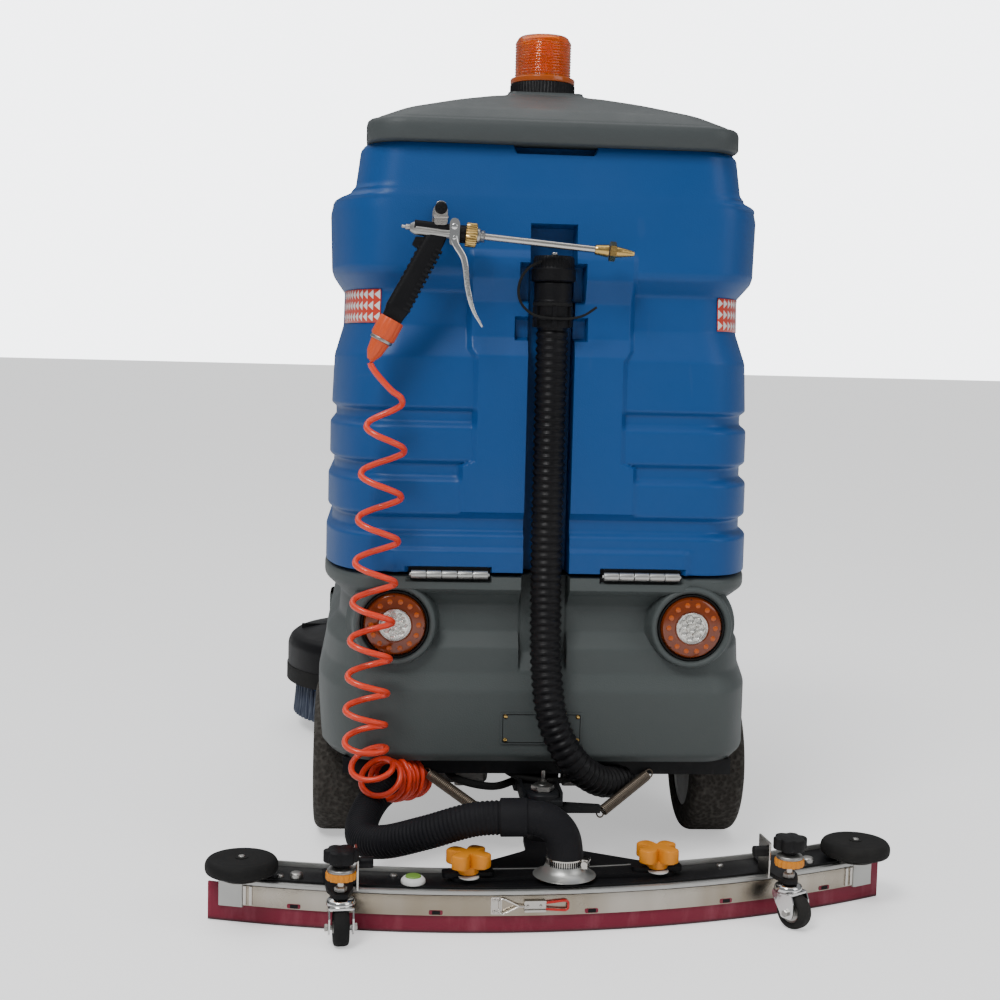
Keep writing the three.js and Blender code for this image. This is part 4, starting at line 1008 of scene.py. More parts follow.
def tail_lamp(side, word):
    """A dark gasket, a deep amber ring that a wreath of bulbs stands through, a clear inner ring and cut
    reflectors in the centre."""
    at, out = (side * LAMP_X, LAMP_FACE_Y, LAMP_Z), (0, -1, 0)
    gasket = standing(eased([(0, 0), (51, 0), (51, 9), (49.5, 10.5), (47.6, 9), (47, 3), (0, 3)], 0.8), at,
                      out, 72)
    rim = standing([(47, 3), (47, 8), (44.5, 13.2), (41, 15), (26.5, 16.6), (25, 15.2), (24, 15.6), (24, 4)],
                   at, out, 96)
    t = np.linspace(0, 2 * np.pi, 14, endpoint=False)
    bulb = [(0, 3), (5.2, 3), (5.2, 14), (3.6, 16.4), (0, 17.4)]
    wreath = [standing(bulb, (at[0] + 35.5 * math.cos(a), at[1], at[2] + 35.5 * math.sin(a)), out,
                       10) for a in t]
    small = np.linspace(0, 2 * np.pi, 7, endpoint=False)
    cups = [(0, 10), (6.6, 15.6), (6.9, 10), (0, 9)]
    centre = [standing(cups, (at[0] + 13.5 * math.cos(a), at[1], at[2] + 13.5 * math.sin(a)), out,
                       6) for a in small]
    centre.append(standing(cups, at, out, 6))
    backing = standing([(25, 2.6), (47, 2.6), (47, 3.6), (25, 3.6), (25, 2.6)], at, out, 48)
    dish = standing([(0, 2.6), (24, 2.6), (24, 11), (0, 11)], at, out, 40)
    cover = standing(eased([(21, 14), (24, 14), (24, 17), (21, 17.4), (21, 14)], 0.6), at, out, 48)
    screws = [dome_screw((at[0] + 42 * math.cos(a), at[1] - 12.6, at[2] + 42 * math.sin(a)), out, 2.6)
              for a in (1.62, -0.1, 3.9)]
    piece("tail_lamp_" + word, "chassis", ("black_rubber", gasket), ("amber_deep", rim),
          ("amber_flange", backing, *wreath),
          ("reflector", dish, *centre), ("clear_lens", cover), ("black_plastic", *screws),
          stands_for=("tail_light_" + word,), crease=28)


tail_lamp(-1, "left")
tail_lamp(1, "right")

plate_skin = upright(plate(124, 48.5, 3) + (0, 227.7), -602.2, REAR_Y - 0.3)
# The thin near-black ring in the groove round the plate is painted shade.
groove = carried(np.column_stack([plate(118, 43, 2)[:, 0], np.full(24, -602.4),
                                  plate(118, 43, 2)[:, 1] + 227.7]),
                 ring(0.55, 6), (0, 1, 0), loop=True)
plate_screws = [dome_screw((x, -602.2, z), (0, -1, 0), 3.4) for x in (-55, 55) for z in (210, 246)]
piece("plate_face", "chassis", ("grey_plastic", plate_skin), ("dark_pocket", groove),
      ("brass", *plate_screws),
      stands_for=("name_plate",), crease=30)


def hinge(side, word):
    """Five barrels round one pin: the lower knuckles stay with the housing, the rest ride with the tank."""
    x = side * HINGE_X
    ends = np.linspace(x - 58, x + 58, 6)
    barrel = [rod((a + 0.5, HINGE_Y, HINGE_Z), (b - 0.5, HINGE_Y, HINGE_Z), 6.2, edge=0.8)
              for a, b in zip(ends[:-1], ends[1:])]
    # The leaves and the strips behind them are near-black: painted shade, so that they read as the shaded
    # slots they sit in.
    leaf = block(x - 57, x + 57, -604, -598.5, 454.4, 459)
    pin = rod((x - 60, HINGE_Y, HINGE_Z), (x + 60, HINGE_Y, HINGE_Z), 2.6, edge=1)
    pocket = block(x - 63, x + 63, -598.6, -596.6, 452.4, 461)
    piece("hinge_fixed_" + word, "chassis", ("satin_aluminium", *barrel[::2], pin), ("dark_pocket", leaf),
          ("dark_pocket", pocket), stands_for=("tank_hinge_" + word,), crease=35)
    flap = block(x - 57, x + 57, -601.4, -598.5, 466, 474)
    piece("hinge_moving_" + word, "tank", ("satin_aluminium", *barrel[1::2]), ("dark_pocket", flap),
          ("dark_pocket", block(x - 62, x + 62, -598.6, -597.2, 465, 473)), crease=35)


hinge(-1, "left")
hinge(1, "right")


# Reflective tape round the tank's two rear corners

def tape_strip(side):
    """A strip of the tank's own hollow band, 0.5 mm proud of it, from the back round the corner; u runs
    along the strip and v up it."""
    z = np.linspace(834.5, 884.5, 11)
    half = softened(z, TANK_ROWS[:, 0], TANK_ROWS[:, 1], 2.6) + 0.7
    inset = softened(z, TANK_ROWS[:, 0], TANK_ROWS[:, 2], 2.6) - 0.7
    t = np.linspace(0, np.pi / 2, 40)[None]
    x = np.concatenate([np.full((1, 1), -2.0) + 0 * t[:, :1], 95 * np.sin(t) ** (2 / 2.3)], 1)
    y = np.concatenate([0 * t[:, :1], 220 - 220 * np.clip(np.cos(t), 0, 1) ** (2 / 2.3)], 1)
    points = np.stack([side * (half[:, None] - 95 + x), REAR_Y + inset[:, None] + y, z[:, None] + 0 * x], -1)
    way = np.concatenate([[0], np.cumsum(np.linalg.norm(np.diff(points[4], axis=0), axis=1))])
    keep = (way > 36) & (way < 186)
    points, way = points[:, keep], way[keep]
    uv = np.stack([np.broadcast_to(way, points.shape[:2]), z[:, None] + 0 * way[None]], -1).reshape(-1, 2)
    points, faces = woven(points, False, False)
    return (points, faces if side > 0 else [face[:, ::-1] for face in faces]), uv


for side, word in ((-1, "left"), (1, "right")):
    skin, strip_uv = tape_strip(side)
    tape = piece("tape_" + word, "tank", ("tape", skin), uv=strip_uv)
    thick = tape.modifiers.new("film", "SOLIDIFY")
    thick.thickness, thick.offset = 0.0004, 1


# Drain cuff, its cap and the strap that keeps them together

def drain_fittings():
    """A cuff with a clamp ring and four webs below it, a ribbed cap, and the strap's loop and tail."""
    at = (0, -600, 0)
    profile = eased([(0, 846.2), (25, 846.2), (27.5, 847), (27.5, 868), (29, 869), (29, 872), (28, 873),
                     (28, 884),
                     (28.4, 897), (27, 899.6), (0, 899.6)], 0.8)
    webs = [placed(block(-3.5, 3.5, -31, -26, 834, 864), about("Z", a)) for a in range(0, 360, 60)]
    collar = turned(eased([(25, 833), (28, 833), (28, 846.5), (25, 846.5)], 0.5), 48)
    clamp = turned([(28, 864), (29.8, 864.6), (29.8, 869), (28, 869.6)], 64, closed=True)
    piece("drain_cuff_moulding", "tank", ("black_plastic", placed(turned(profile, 72), shift=at),
          *(placed(web, shift=at) for web in webs), placed(collar, shift=at)),
          ("black_rubber", placed(clamp, shift=at)), stands_for=("drain_cuff",), crease=40)
    cap = fluted([(0, 900, 0), (30.5, 900, 0), (32.8, 902, 0), (32.8, 918, 0), (30.8, 920, 0),
                  (30.8, 922, 1),
                  (30.4, 934, 1), (28, 938, 0), (0, 939, 0)], 40, 0.8, 240)
    stud = turned(eased([(0, 938.6), (4, 938.6), (5, 940), (5, 943), (0, 944)], 0.5), 20)
    piece("drain_cap_moulding", "drain_cap", ("black_plastic", placed(cap, shift=at)),
          ("chrome_trim", placed(stud, shift=(0, -606, 0))), stands_for=("drain_cap",), crease=40)
    loop = flowing([(-20, -622, 929), (-38, -628, 920), (-51, -630, 902), (-54, -630, 880), (-46, -629, 862),
                    (-29, -630, 850), (0, -633, 846), (26, -631, 847), (44, -629, 852), (62, -628, 864)], 90)
    strap = carried(loop, plate(4.0, 1.8, 0.8, 3), (0, 1, 0), np.linspace(1, 0.9, 91))
    tie = turned(eased([(27.6, 844), (29.6, 844), (29.6, 848), (27.6, 848)], 0.5), 48, closed=True)
    piece("cap_strap", "tank", ("black_rubber", strap), ("black_plastic", placed(tie, shift=at)), crease=50)


drain_fittings()


# Spray gun

def spray_gun():
    """A zinc barrel with a black top shell, a grip whose piercings are near-black slots of painted shade, a
    pivot block and its nuts; every part is a section carried along the gun's own lines or turned about them."""
    y = GUN_Y
    back, front = np.array((-214, y, 970.5)), np.array((-138, y, 963.2))
    run = unit(front - back)
    barrel = carried([back, back + run * 4, back + run * 8, front - run * 8, front],
                     plate(21, 20, 7), (0, 0, 1), [0.55, 0.8, 1, 1, 0.86])
    flutes = [carried([back + run * 8 + (0, -10.2, dz), front - run * 10 + (0, -10.2, dz)], ring(1.5, 10))
              for dz in (-3.5, 0.5)]
    shell = carried([back + run * 6 + (0, 0, 4.6), front - run * 10 + (0, 0, 4.6)], plate(22.4, 13, 5),
                    (0, 0, 1))
    stud = standing(eased([(0, 0), (4.2, 0), (4.2, 6), (2.4, 7), (2.4, 12), (0, 13)], 0.5), back,
                    tuple(-run), 24)
    grip_top, grip_run = GRIP_TOP, GRIP_RUN
    wide = eased([(-11, -16), (11, -16), (11, 13), (7, 18), (-7, 18), (-11, 13)], 4.5, 5, closed=True)
    grip_line = grip_top + np.linspace(-8, 134, 60)[:, None] * grip_run
    swell = np.interp(np.linspace(0, 1, 60), [0, 0.1, 0.5, 0.88, 0.95, 1.0],
                      [0.82, 0.9, 0.92, 1.02, 0.9, 0.88])
    grip = carried(grip_line, wide[:, ::-1], (0, 1, 0), swell)
    across_run = np.array((-grip_run[2], 0, grip_run[0]))
    # The grip's slots are near-black strips laid on it: painted shade for its piercings.
    slots = [carried([p + across_run * 6.5, p + across_run * 17.5], plate(3.6, 23.5, 1.2, 3), (0, 1, 0))
             for p in grip_top + np.linspace(16, 112, 13)[:, None] * grip_run]
    ribs = [carried([p - across_run * 10, p - across_run * 17.6], plate(4.4, 15, 1.5, 3), (0, 1, 0))
            for p in grip_top + np.linspace(14, 116, 11)[:, None] * grip_run]
    thumb = upright([(-206, 957), (-211, 946), (-198, 936), (-190, 944), (-194, 957)], y - 7, y + 7)
    neck = standing(eased([(0, 0), (11, 0), (13, 6), (13, 14), (0, 16)], 1.5), (-147, y, 963.5),
                    (1, 0, -0.09), 36)
    piece("gun_casting", "tank", ("zinc", barrel, *flutes, stud),
          ("black_plastic", shell, grip, thumb, neck),
          ("dark_pocket", *slots), ("black_rubber", *ribs), stands_for=("gun_body",), crease=38)
    # Hanger tab: a rounded strip of steel bent under the gun, with its screw
    tab = upright(eased([(-182, 962), (-159, 962), (-160, 1000), (-165, 1009), (-176, 1009), (-181, 1000)],
                        6, 6,
                        closed=True), -603.6, REAR_Y - 0.3)
    shelf = across(eased([(-603.3, 986), (-664, 984), (-664, 987), (-603.3, 989)], 0.4, 3, closed=True),
                   -181, -160)
    strip = upright(eased([(-180, 974), (-161, 974), (-161, 998), (-165, 1008), (-176, 1008), (-180, 998)],
                          5, 6,
                          closed=True), -662, -659)
    screw = standing(eased([(0, 0), (9, 0), (9, 2), (7, 4.6), (0, 5)], 0.8), (-170.5, -662, 998), (0, -1, 0),
                     36)
    # The screw's cross is a pair of near-black bars: painted shade in its recess.
    cross = [upright(eased([(-170.5 + a, 998 + b) for a, b in ((-w, -h), (w, -h), (w, h), (-w, h))], 0.3, 2,
                           closed=True), -667.6, -666.4) for w, h in ((5.2, 0.9), (0.9, 5.2))]
    piece("gun_hanger", "tank", ("stainless", tab, shelf, strip), ("black_plastic", screw),
          ("dark_pocket", *cross), stands_for=("gun_bracket",), crease=35, bevel=0.5)
    # Trigger: a blade that narrows to its tip, with its pivot cheek
    line = flowing([(-151, y - 13, 975), (-150, y - 17, 950), (-137, y - 18, 927), (-130, y - 18, 884),
                    (-122, y - 18, 855), (-108, y - 18, 830)], 60)
    blade = carried(line, plate(9, 5.4, 2.2), (0, 1, 0), np.interp(np.linspace(0, 1, 61), [0, 0.25, 0.7, 1],
                                                                   [1.05, 1.1, 0.85, 0.28]))
    cheek = upright(eased([(-158, 946), (-144, 944), (-143, 978), (-147, 984), (-155, 984), (-158, 978)], 4,
                          5,
                          closed=True), y - 18.5, y - 12)
    pin = standing(eased([(0, 0), (4.4, 0), (4.4, 2), (0, 3)], 0.8), (-151, y - 18.4, 972), (0, -1, 0), 24)
    dot = standing(eased([(0, 0), (3, 0), (3, 1), (0, 1.6)], 0.4), (-151, y - 18.4, 956), (0, -1, 0), 20)
    piece("gun_lever", "gun_trigger", ("chrome_trim", blade, cheek, pin, dot), stands_for=("gun_trigger",),
          crease=38)
    # Lance: knurled nut, hexagon, tube and nozzle
    start, end = np.array((-134, y, 962.4)), np.array((54, y, 946.5))
    ahead = unit(end - start)
    nut = fluted([(0, 0, 0), (16, 0, 0), (17.6, 1.5, 1), (17.6, 14.5, 1), (16, 16, 0), (0, 16, 0)], 24, 1.3,
                 144)
    nut = placed(nut, facing(ahead), start)
    collar = standing(eased([(0, 0), (11, 0), (11, 4), (8, 6), (8, 10), (0, 10)], 0.8), start + ahead * 16,
                      ahead, 36)
    hexes = hexagon(start + ahead * 21, ahead, 15, 7)
    tube = rod(start + ahead * 28, end + ahead * 2, 5.1, sides=28)
    sleeve = standing(eased([(0, 0), (6.6, 0), (7.6, 3), (8.6, 12), (9.6, 20), (0, 20)], 0.8), end, ahead,
                      32)
    tip_nut = hexagon(end + ahead * 21, ahead, 25, 10)
    tip = standing(eased([(0, 0), (8.2, 0), (7.4, 8), (4.4, 24), (3.4, 28), (1.4, 28), (1.2, 20), (0, 20)],
                         0.5),
                   end + ahead * 30, ahead, 32)
    piece("gun_spray_lance", "tank", ("brass", nut, sleeve, tip_nut, tip), ("zinc", collar, hexes),
          ("stainless", tube), stands_for=("gun_lance",), crease=30)


spray_gun()


# Wheels

def wheel_tyre(name, body, node_name, centre, width, hub_sign):
    """A solid tyre with rounded shoulders and shallow side grooves over a dished steel rim with five bolts
    and a hub cap, turned about the axle."""
    h, r = width / 2, TYRE_RADIUS
    section = eased([(84, -h + 3), (90, -h), (112, -h), (r - 4, -h + 5), (r, -h + 14), (r, h - 14),
                     (r - 4, h - 5),
                     (112, h), (90, h), (84, h - 3), (84, -h + 3)], 6, 6)
    section = np.concatenate([section, section[:1]])
    grooves = [turned([(r + 0.05, g - 1.6), (r + 0.25, g), (r + 0.05, g + 1.6)], 96,
                      closed=True) for g in (0,)]
    tyre = turned(section, 96, closed=True)
    rim = turned(eased([(14, h - 20), (40, h - 20), (46, h - 12), (70, h - 16), (80, h - 6), (86, h - 3),
                        (86, -h + 4),
                        (78, -h + 8), (14, -h + 16), (14, h - 20)], 2.5, 4), 72, closed=True)
    hub = turned(eased([(0, h - 22), (24, h - 22), (24, h - 10), (20, h - 6), (0, h - 5)], 2), 40)
    bolts = [hexagon((33 * math.cos(a), 33 * math.sin(a), h - 20), (0, 0, 1), 11, 7)
             for a in np.linspace(0, 2 * np.pi, 6)[:5]]
    stand = about("Y", 90 * hub_sign)
    piece(name, body, ("tyre_rubber", placed(tyre, stand, centre),
                       *(placed(g, stand, centre) for g in grooves)),
          ("satin_aluminium", placed(rim, stand, centre)), ("black_plastic", placed(hub, stand, centre)),
          ("zinc", *(placed(b, stand, centre) for b in bolts)), stands_for=(node_name,), crease=40)


wheel_tyre("drive_wheel_left", "rear_wheel_left", "rear_wheel_left", (-306, AXLE_Y, TYRE_RADIUS), 88, -1)
wheel_tyre("drive_wheel_right", "rear_wheel_right", "rear_wheel_right", (306, AXLE_Y, TYRE_RADIUS), 88, 1)
wheel_tyre("steered_wheel", "front_wheel", "front_wheel", (0, STEER_Y, TYRE_RADIUS), 78, 1)


# Squeegee, in its own frame: origin on the swivel axis, turned a little to one side

def swung(skin):
    """From the squeegee's frame into the machine's."""
    return placed(skin, about("Z", SWIVEL_DEGREES), SWIVEL)


def arc_y(x, radius=BLADE_ARC):
    """Where the arc lies in plan."""
    return BLADE_Y + BLADE_ARC - math.sqrt(radius ** 2 - x ** 2)


def arc_strip(radius, section, left, right, steps=140):
    """A section carried along the blade's arc between two chord places; its x points forwards and its y
    up."""
    t = np.linspace(math.asin(left / radius), math.asin(right / radius), steps)
    path = np.column_stack([radius * np.sin(t), BLADE_Y + BLADE_ARC - radius * np.cos(t), np.zeros(steps)])
    return carried(path, section, (0, 0, 1))


def bar(depth0, depth1, z0, z1, edge=0.6):
    """A rectangular section with eased corners, for arc_strip."""
    return eased([(depth0, z0), (depth1, z0), (depth1, z1), (depth0, z1)], edge, 3, closed=True)


def on_arc(skin, x, radius):
    """A skin built behind the origin, moved out to the arc at x and turned to face along its radius."""
    t = math.asin(x / radius)
    return placed(skin, about("Z", math.degrees(t)), (x, arc_y(x, radius), 0))


def squeegee_body():
    """Flange, band, plates, end blocks and brackets, each a bar carried along the arc or a slab on it."""
    flange = arc_strip(BLADE_ARC + 7.4, bar(0, 40, PLATE_Z, PLATE_Z + 6.5, 1.6), -476, 476)
    top = arc_strip(BLADE_ARC + 1, bar(0, 60, PLATE_Z + 6.3, PLATE_TOP, 0.8), -480, 480)
    lip = arc_strip(BLADE_ARC - 56, bar(0, 3, PLATE_Z, PLATE_TOP + 7, 0.8), -466, 466)
    ends = [on_arc(slab(eased([(-18, -9), (18, -9), (18, 44), (-18, 44)], 3, 5, closed=True), 24,
                        PLATE_Z + 7), x,
                   BLADE_ARC) for x in (-457, 457)]
    folds = [on_arc(slab(eased([(-3, -9), (1.5, -9), (1.5, -1), (-3, -1)], 0.8, 3, closed=True), 28,
                         PLATE_Z - 1),
                    x, BLADE_ARC) for x in (-437, -429, 437, 429)]
    yoke = slab(eased([(-26, 12), (26, 12), (34, -60), (158, -146), (158, -178), (-158, -178), (-158, -146),
                       (-34, -60)], 10, 5, closed=True), PLATE_TOP - 1, PLATE_TOP + 6)
    hub = turned(eased([(0, PLATE_Z), (24, PLATE_Z), (24, 102), (21, 104), (0, 104)], 1.5), 48)
    tails = [slab(eased([(x - 36, -150), (x - 36, -172), (x + 36, -172), (x + 36, -150)], 8, 6, closed=True),
                  PLATE_TOP + 5, PLATE_TOP + 12) for x in (-135, 135)]
    # The tracks under the wing knobs are near-black strips: painted shade in their slots.
    tracks = [slab(plate(46, 9, 4.4) + (x, -165), PLATE_TOP + 11, PLATE_TOP + 12.6) for x in (-135, 135)]
    arms = [slab(eased([(x - 20, -112), (x - 18, -196), (x - 8, -226), (x + 8, -226), (x + 18, -196),
                        (x + 20, -112)],
                       5, 5, closed=True), PLATE_TOP - 1, PLATE_TOP + 5) for x in (-314, 314)]
    feet = [slab(eased([(x - 22, -78), (x - 20, -130), (x, -150), (x + 20, -130), (x + 22, -78)], 8, 6,
                       closed=True),
                 PLATE_TOP - 1, PLATE_TOP + 3) for x in (-445, 445)]
    posts = [standing(eased([(0, 0), (28, 0), (26, 3), (16, 4.6), (0, 4.6)], 1), (x, -128, PLATE_TOP),
                      (0, 0, 1))
             for x in (-445, 445)]
    bolts = [dome_screw((x, arc_y(x) + d, PLATE_TOP), (0, 0, 1), 5.4)
             for x, d in ((-392, 12), (-236, 40), (236, 40), (70, 34), (-70, 34))]
    caps = [standing(eased([(0, 0), (9, 0), (9, 7), (7, 9), (0, 9.4)], 1.2),
                     (x, arc_y(x) + 12, PLATE_TOP - 1),
                     (0, 0, 1), 28) for x in (-370, 370)]
    washers = [standing(eased([(0, 0), (14.5, 0), (14.5, 2), (0, 2.2)], 0.6), (x, -172, PLATE_TOP + 6),
                        (0, 0, 1), 40)
               for x in (-135, 135)]
    level = standing(eased([(0, 0), (17, 0), (17, 5), (13, 9), (0, 9)], 1.4),
                     (-212, arc_y(-212) + 13, PLATE_TOP),
                     (0, 0, 1), 48)
    glass = standing(eased([(0, 8.6), (11.5, 8.6), (10, 11), (0, 12)], 0.8),
                     (-212, arc_y(-212) + 13, PLATE_TOP),
                     (0, 0, 1), 40)
    piece("squeegee_plates", "squeegee",
          ("black_plastic", *map(swung, (top, yoke, hub, *arms, *feet, *tails))),
          ("satin_aluminium", *map(swung, (flange, lip, *ends))), ("stainless", *map(swung, folds)),
          ("dark_pocket", *map(swung, tracks)), ("zinc", *map(swung, (*bolts, *caps, *posts))),
          ("white_nylon", *map(swung, (*washers, level))), ("green_plastic", swung(glass)),
          stands_for=("squeegee_frame",), crease=35)
    band = arc_strip(BLADE_ARC + 5.8, bar(-1.2, 1.2, 26, PLATE_Z - 0.4, 0.5), -446, 446)
    folds_up = [on_arc(slab(eased([(-0.9, 0.2), (0.9, 0.2), (0.9, -1.6), (-0.9, -1.6)], 0.3, 2, closed=True),
                            26,
                            PLATE_Z - 1), x, BLADE_ARC + 7) for x in (-446, 446)]
    rims, holes = [], []
    for x in (-374, -183, 32, 231, 392):
        outline = plate(19, 6.2, 2.2)
        rim = upright(outline + (0, 30.6), -0.55, 0.2)
        # Each hole is a near-black plate: painted shade inside it.
        hole = upright(plate(11, 5.2, 0.8) + (0.5, 30.6), -1.0, 0)
        rims.append(on_arc(rim, x, BLADE_ARC + 7))
        holes.append(on_arc(hole, x, BLADE_ARC + 7))
    piece("squeegee_clamp_band", "squeegee", ("band_steel", *map(swung, (band, *folds_up))),
          ("burgundy_rubber", *map(swung, rims)), ("dark_pocket", *map(swung, holes)),
          stands_for=("squeegee_band",), crease=35)
    rear = arc_strip(BLADE_ARC + 2.1, bar(-2.1, 2.1, 1, PLATE_Z - 0.4, 0.5), -490, 490)
    piece("squeegee_rear_blade", "squeegee", ("burgundy_rubber", swung(rear)), stands_for=("rear_blade",))
    front = arc_strip(BLADE_ARC - 54, bar(-2, 2, 1, PLATE_Z - 0.4, 0.5), -420, 420)
    piece("squeegee_front_blade", "squeegee", ("burgundy_rubber", swung(front)), stands_for=("front_blade",))


def outlet():
    """A spun funnel, a worm clamp and a smooth elbow carried round a quarter turn into the hose's cuff."""
    at = (0, -171, 0)
    funnel = turned(eased([(0, PLATE_TOP + 6), (46, PLATE_TOP + 6), (40, PLATE_TOP + 8),
                           (31, PLATE_TOP + 13),
                           (27, PLATE_TOP + 20), (26, PLATE_TOP + 26), (0, PLATE_TOP + 26)], 4, 5), 72)
    line = flowing([(0, 0, 82), (0, 0, 104), (-5, 1, 126), (-20, 3, 143), (-40, 6, 150), (-58, 9, 151)], 60)
    swell = np.interp(np.linspace(0, 1, 61), [0, 0.08, 0.12, 0.8, 0.84, 1],
                      [24.6, 24.6, 25.4, 24.6, 23.6, 23.4])
    elbow = carried(line, ring(1, 48), (0, 1, 0), swell)
    cuff = rod((-38, -806.8, 151.2), (-76, -804.2, 150.2), 26.8, edge=2)
    clamp = turned([(25, 84), (26.4, 84.3), (26.4, 96.7), (25, 97)], 72, closed=True)
    # The worm clamp's slits are near-black bars: painted shade in them.
    slits = [placed(block(-0.8, 0.8, -27.2, -26.2, 86.5, 94.5), about("Z", a)) for a in np.linspace(-58, 40,
                                                                                                    15)]
    housing = [placed(s, about("Z", 66)) for s in (
        block(-9, 9, -34, -26, 84, 97), rod((-12, -30, 90.5), (12, -30, 90.5), 4.6),
        hexagon((12, -30, 90.5), (1, 0, 0), 8, 5))]
    piece("suction_elbow", "squeegee", ("hose_dull", swung(placed(elbow, shift=at)), cuff),
          ("satin_aluminium", swung(placed(funnel, shift=at))),
          ("stainless", *(swung(placed(s, shift=at)) for s in (clamp, *housing))),
          ("dark_pocket", *(swung(placed(s, shift=at)) for s in slits)), stands_for=("suction_outlet",),
          crease=38)


def star(lobes, inner, outer, steps=120, power=2.0):
    """A knob's plan: a radius that swells between inner and outer once for each lobe, flattened at its
    peaks."""
    t = np.linspace(0, 2 * np.pi, steps, endpoint=False)
    swell = (0.5 + 0.5 * np.cos(lobes * t))
    r = inner + (outer - inner) * (1 - (1 - swell) ** power)
    return np.column_stack([r * np.cos(t), r * np.sin(t)])


def knob_top(outline, z0, z1, edge=2.0):
    """An outline raised with rounded rims: it shrinks towards its middle over the last few millimetres."""
    rise = np.array([(0.90, 0), (0.97, 0.35), (1, 1), (1, -1), (0.97, -0.35), (0.90, 0)])
    z = np.array([z0, z0 + edge * 0.35, z0 + edge, z1 - edge, z1 - edge * 0.35, z1])
    rows = np.stack([np.column_stack([outline * s, np.full(len(outline), h)]) for s,
                     h in zip(rise[:, 0], z)])
    return woven(rows)


def side_fittings(side, word):
    """End roller, wing knob, caster with its fork, its height screw and knob, on one side."""
    z = PLATE_TOP
    roller = turned(eased([(8, 7), (40, 7), (49, 10), (50.5, 16), (50, 23), (46, 28.5), (36, 30), (8, 29)],
                          3, 5), 96)
    screw = standing(eased([(0, 0), (5, 0), (4.4, 2.6), (0, 3.2)], 0.8), (0, 0, 29.5), (0, 0, 1), 20)
    plug = turned([(0, 5), (9, 5), (9, 30), (0, 30)], 32)
    at = (side * 445, -128, z)
    piece("bumper_roller_" + word, "end_roller_" + word, ("black_rubber", swung(placed(roller, shift=at)),
          swung(placed(plug, shift=at))), ("zinc", swung(placed(screw, shift=at))),
          stands_for=("end_roller_" + word,), crease=40)
    at = (side * 135, -165, z + 8)
    stem = turned(eased([(0, 0), (9, 0), (15, 3), (15, 13), (12, 15), (0, 15)], 1), 40)
    wings = knob_top(placed((np.column_stack([star(4, 12, 33, 160, 2.4), np.zeros(160)]), []),
                            about("Z", 38 * side))[0][:, :2], 13, 33, 2.4)
    piece("wing_knob_star_" + word, "wing_knob_" + word, ("yellow_plastic", *(swung(placed(s, shift=at))
          for s in (stem, wings))), stands_for=("wing_knob_" + word,), crease=38)
    at = (side * CASTER_X, CASTER_Y, z)
    yellow = placed(knob_top(star(16, 19.2, 20.6, 192), 22, 33, 1.6), shift=at)
    cap = placed(turned(eased([(0, 33), (19, 33), (18, 37), (12, 40), (0, 40)], 1.2), 48), shift=at)
    neck = placed(turned(eased([(0, 39.5), (11, 39.5), (12, 44), (12, 48), (0, 48)], 1), 32), shift=at)
    lobes = placed(knob_top(star(6, 19.5, 24, 180), 46, 63, 2.2), shift=at)
    piece("height_knob_" + word, "caster_knob_" + word, ("black_plastic", swung(neck), swung(lobes)),
          ("yellow_plastic", swung(yellow)), ("zinc", swung(cap)), stands_for=("caster_knob_" + word,),
          crease=38)
    stem = rod((side * CASTER_X, CASTER_Y, z - 1), (side * CASTER_X, CASTER_Y, z + 23), 4.5)
    nut = hexagon((side * CASTER_X, CASTER_Y, z + 5), (0, 0, 1), 15, 7)
    inward = -side
    angle = eased([(side * CASTER_X + inward * 22, -196), (side * CASTER_X + inward * 25, -196),
                   (side * CASTER_X + inward * 25, -150), (side * CASTER_X + inward * 22, -150)], 0.8, 3,
                  closed=True)
    cheek = slab(angle[::-side], z, z + 50)
    clamp_bar = rod((side * CASTER_X + inward * 25, -186, z + 36),
                    (side * CASTER_X + inward * 45, -186, z + 36), 7.6,
                    edge=1)
    piece("caster_bracket_" + word, "squeegee", ("stainless", *map(swung, (cheek, stem))),
          ("zinc", swung(nut)),
          ("black_plastic", swung(clamp_bar)), crease=35)
    turn = about("Z", 30 if side > 0 else 0)

    def on_caster(skin):
        """From a frame about the swivel's axis to the caster's place on the unit."""
        return swung(placed(skin, turn, (side * CASTER_X, CASTER_Y, 0)))

    crown = turned(eased([(0, 52), (19, 52), (20, 56), (18, 60), (12, 62.5), (8, 63.6), (0, 63.6)], 1.5), 56)
    race = turned(eased([(0, 47), (17, 47), (17.6, 49), (17, 52), (0, 52)], 0.8), 48)
    leg = eased([(-21, 17), (-3, 17), (0, 24), (14, 44), (15, 53), (-19, 53), (-24, 40), (-24, 24)], 4, 5,
                closed=True)
    legs = [across(leg, x, x + 2.2) for x in (-17.2, 15)]
    top = slab(plate(34.4, 36, 5) + (0, -3), 50.5, 53)
    axle = rod((-19, -12, 25), (19, -12, 25), 3.4)
    nuts = [hexagon((d * 17.4, -12, 25), (d, 0, 0), 9, 4.5) for d in (-1, 1)]
    piece("caster_yoke_" + word, "caster_fork_" + word, ("chrome_trim",
                                                         *map(on_caster, (crown, race, *legs, top))),
          ("zinc", *map(on_caster, (axle, *nuts))), stands_for=("caster_fork_" + word,), crease=35)
    tyre = turned(eased([(15, -10), (19, -11), (23.4, -9.6), (25, -5), (25, 5), (23.4, 9.6), (19, 11),
                         (15, 10),
                         (15, -10)], 1.6, 5), 72, closed=True)
    core = turned(eased([(3.8, -11.6), (7, -11.6), (8, -9), (13, -8), (15.5, -9.6), (15.5, 9.6), (13, 8),
                         (8, 9),
                         (7, 11.6), (3.8, 11.6), (3.8, -11.6)], 0.6, 3), 48, closed=True)
    lie = about("Y", 90)
    piece("caster_roll_" + word, "caster_wheel_" + word,
          ("black_rubber", on_caster(placed(tyre, lie, (0, -12, 25)))),
          ("zinc", on_caster(placed(core, lie, (0, -12, 25)))), stands_for=("caster_wheel_" + word,),
          crease=40)


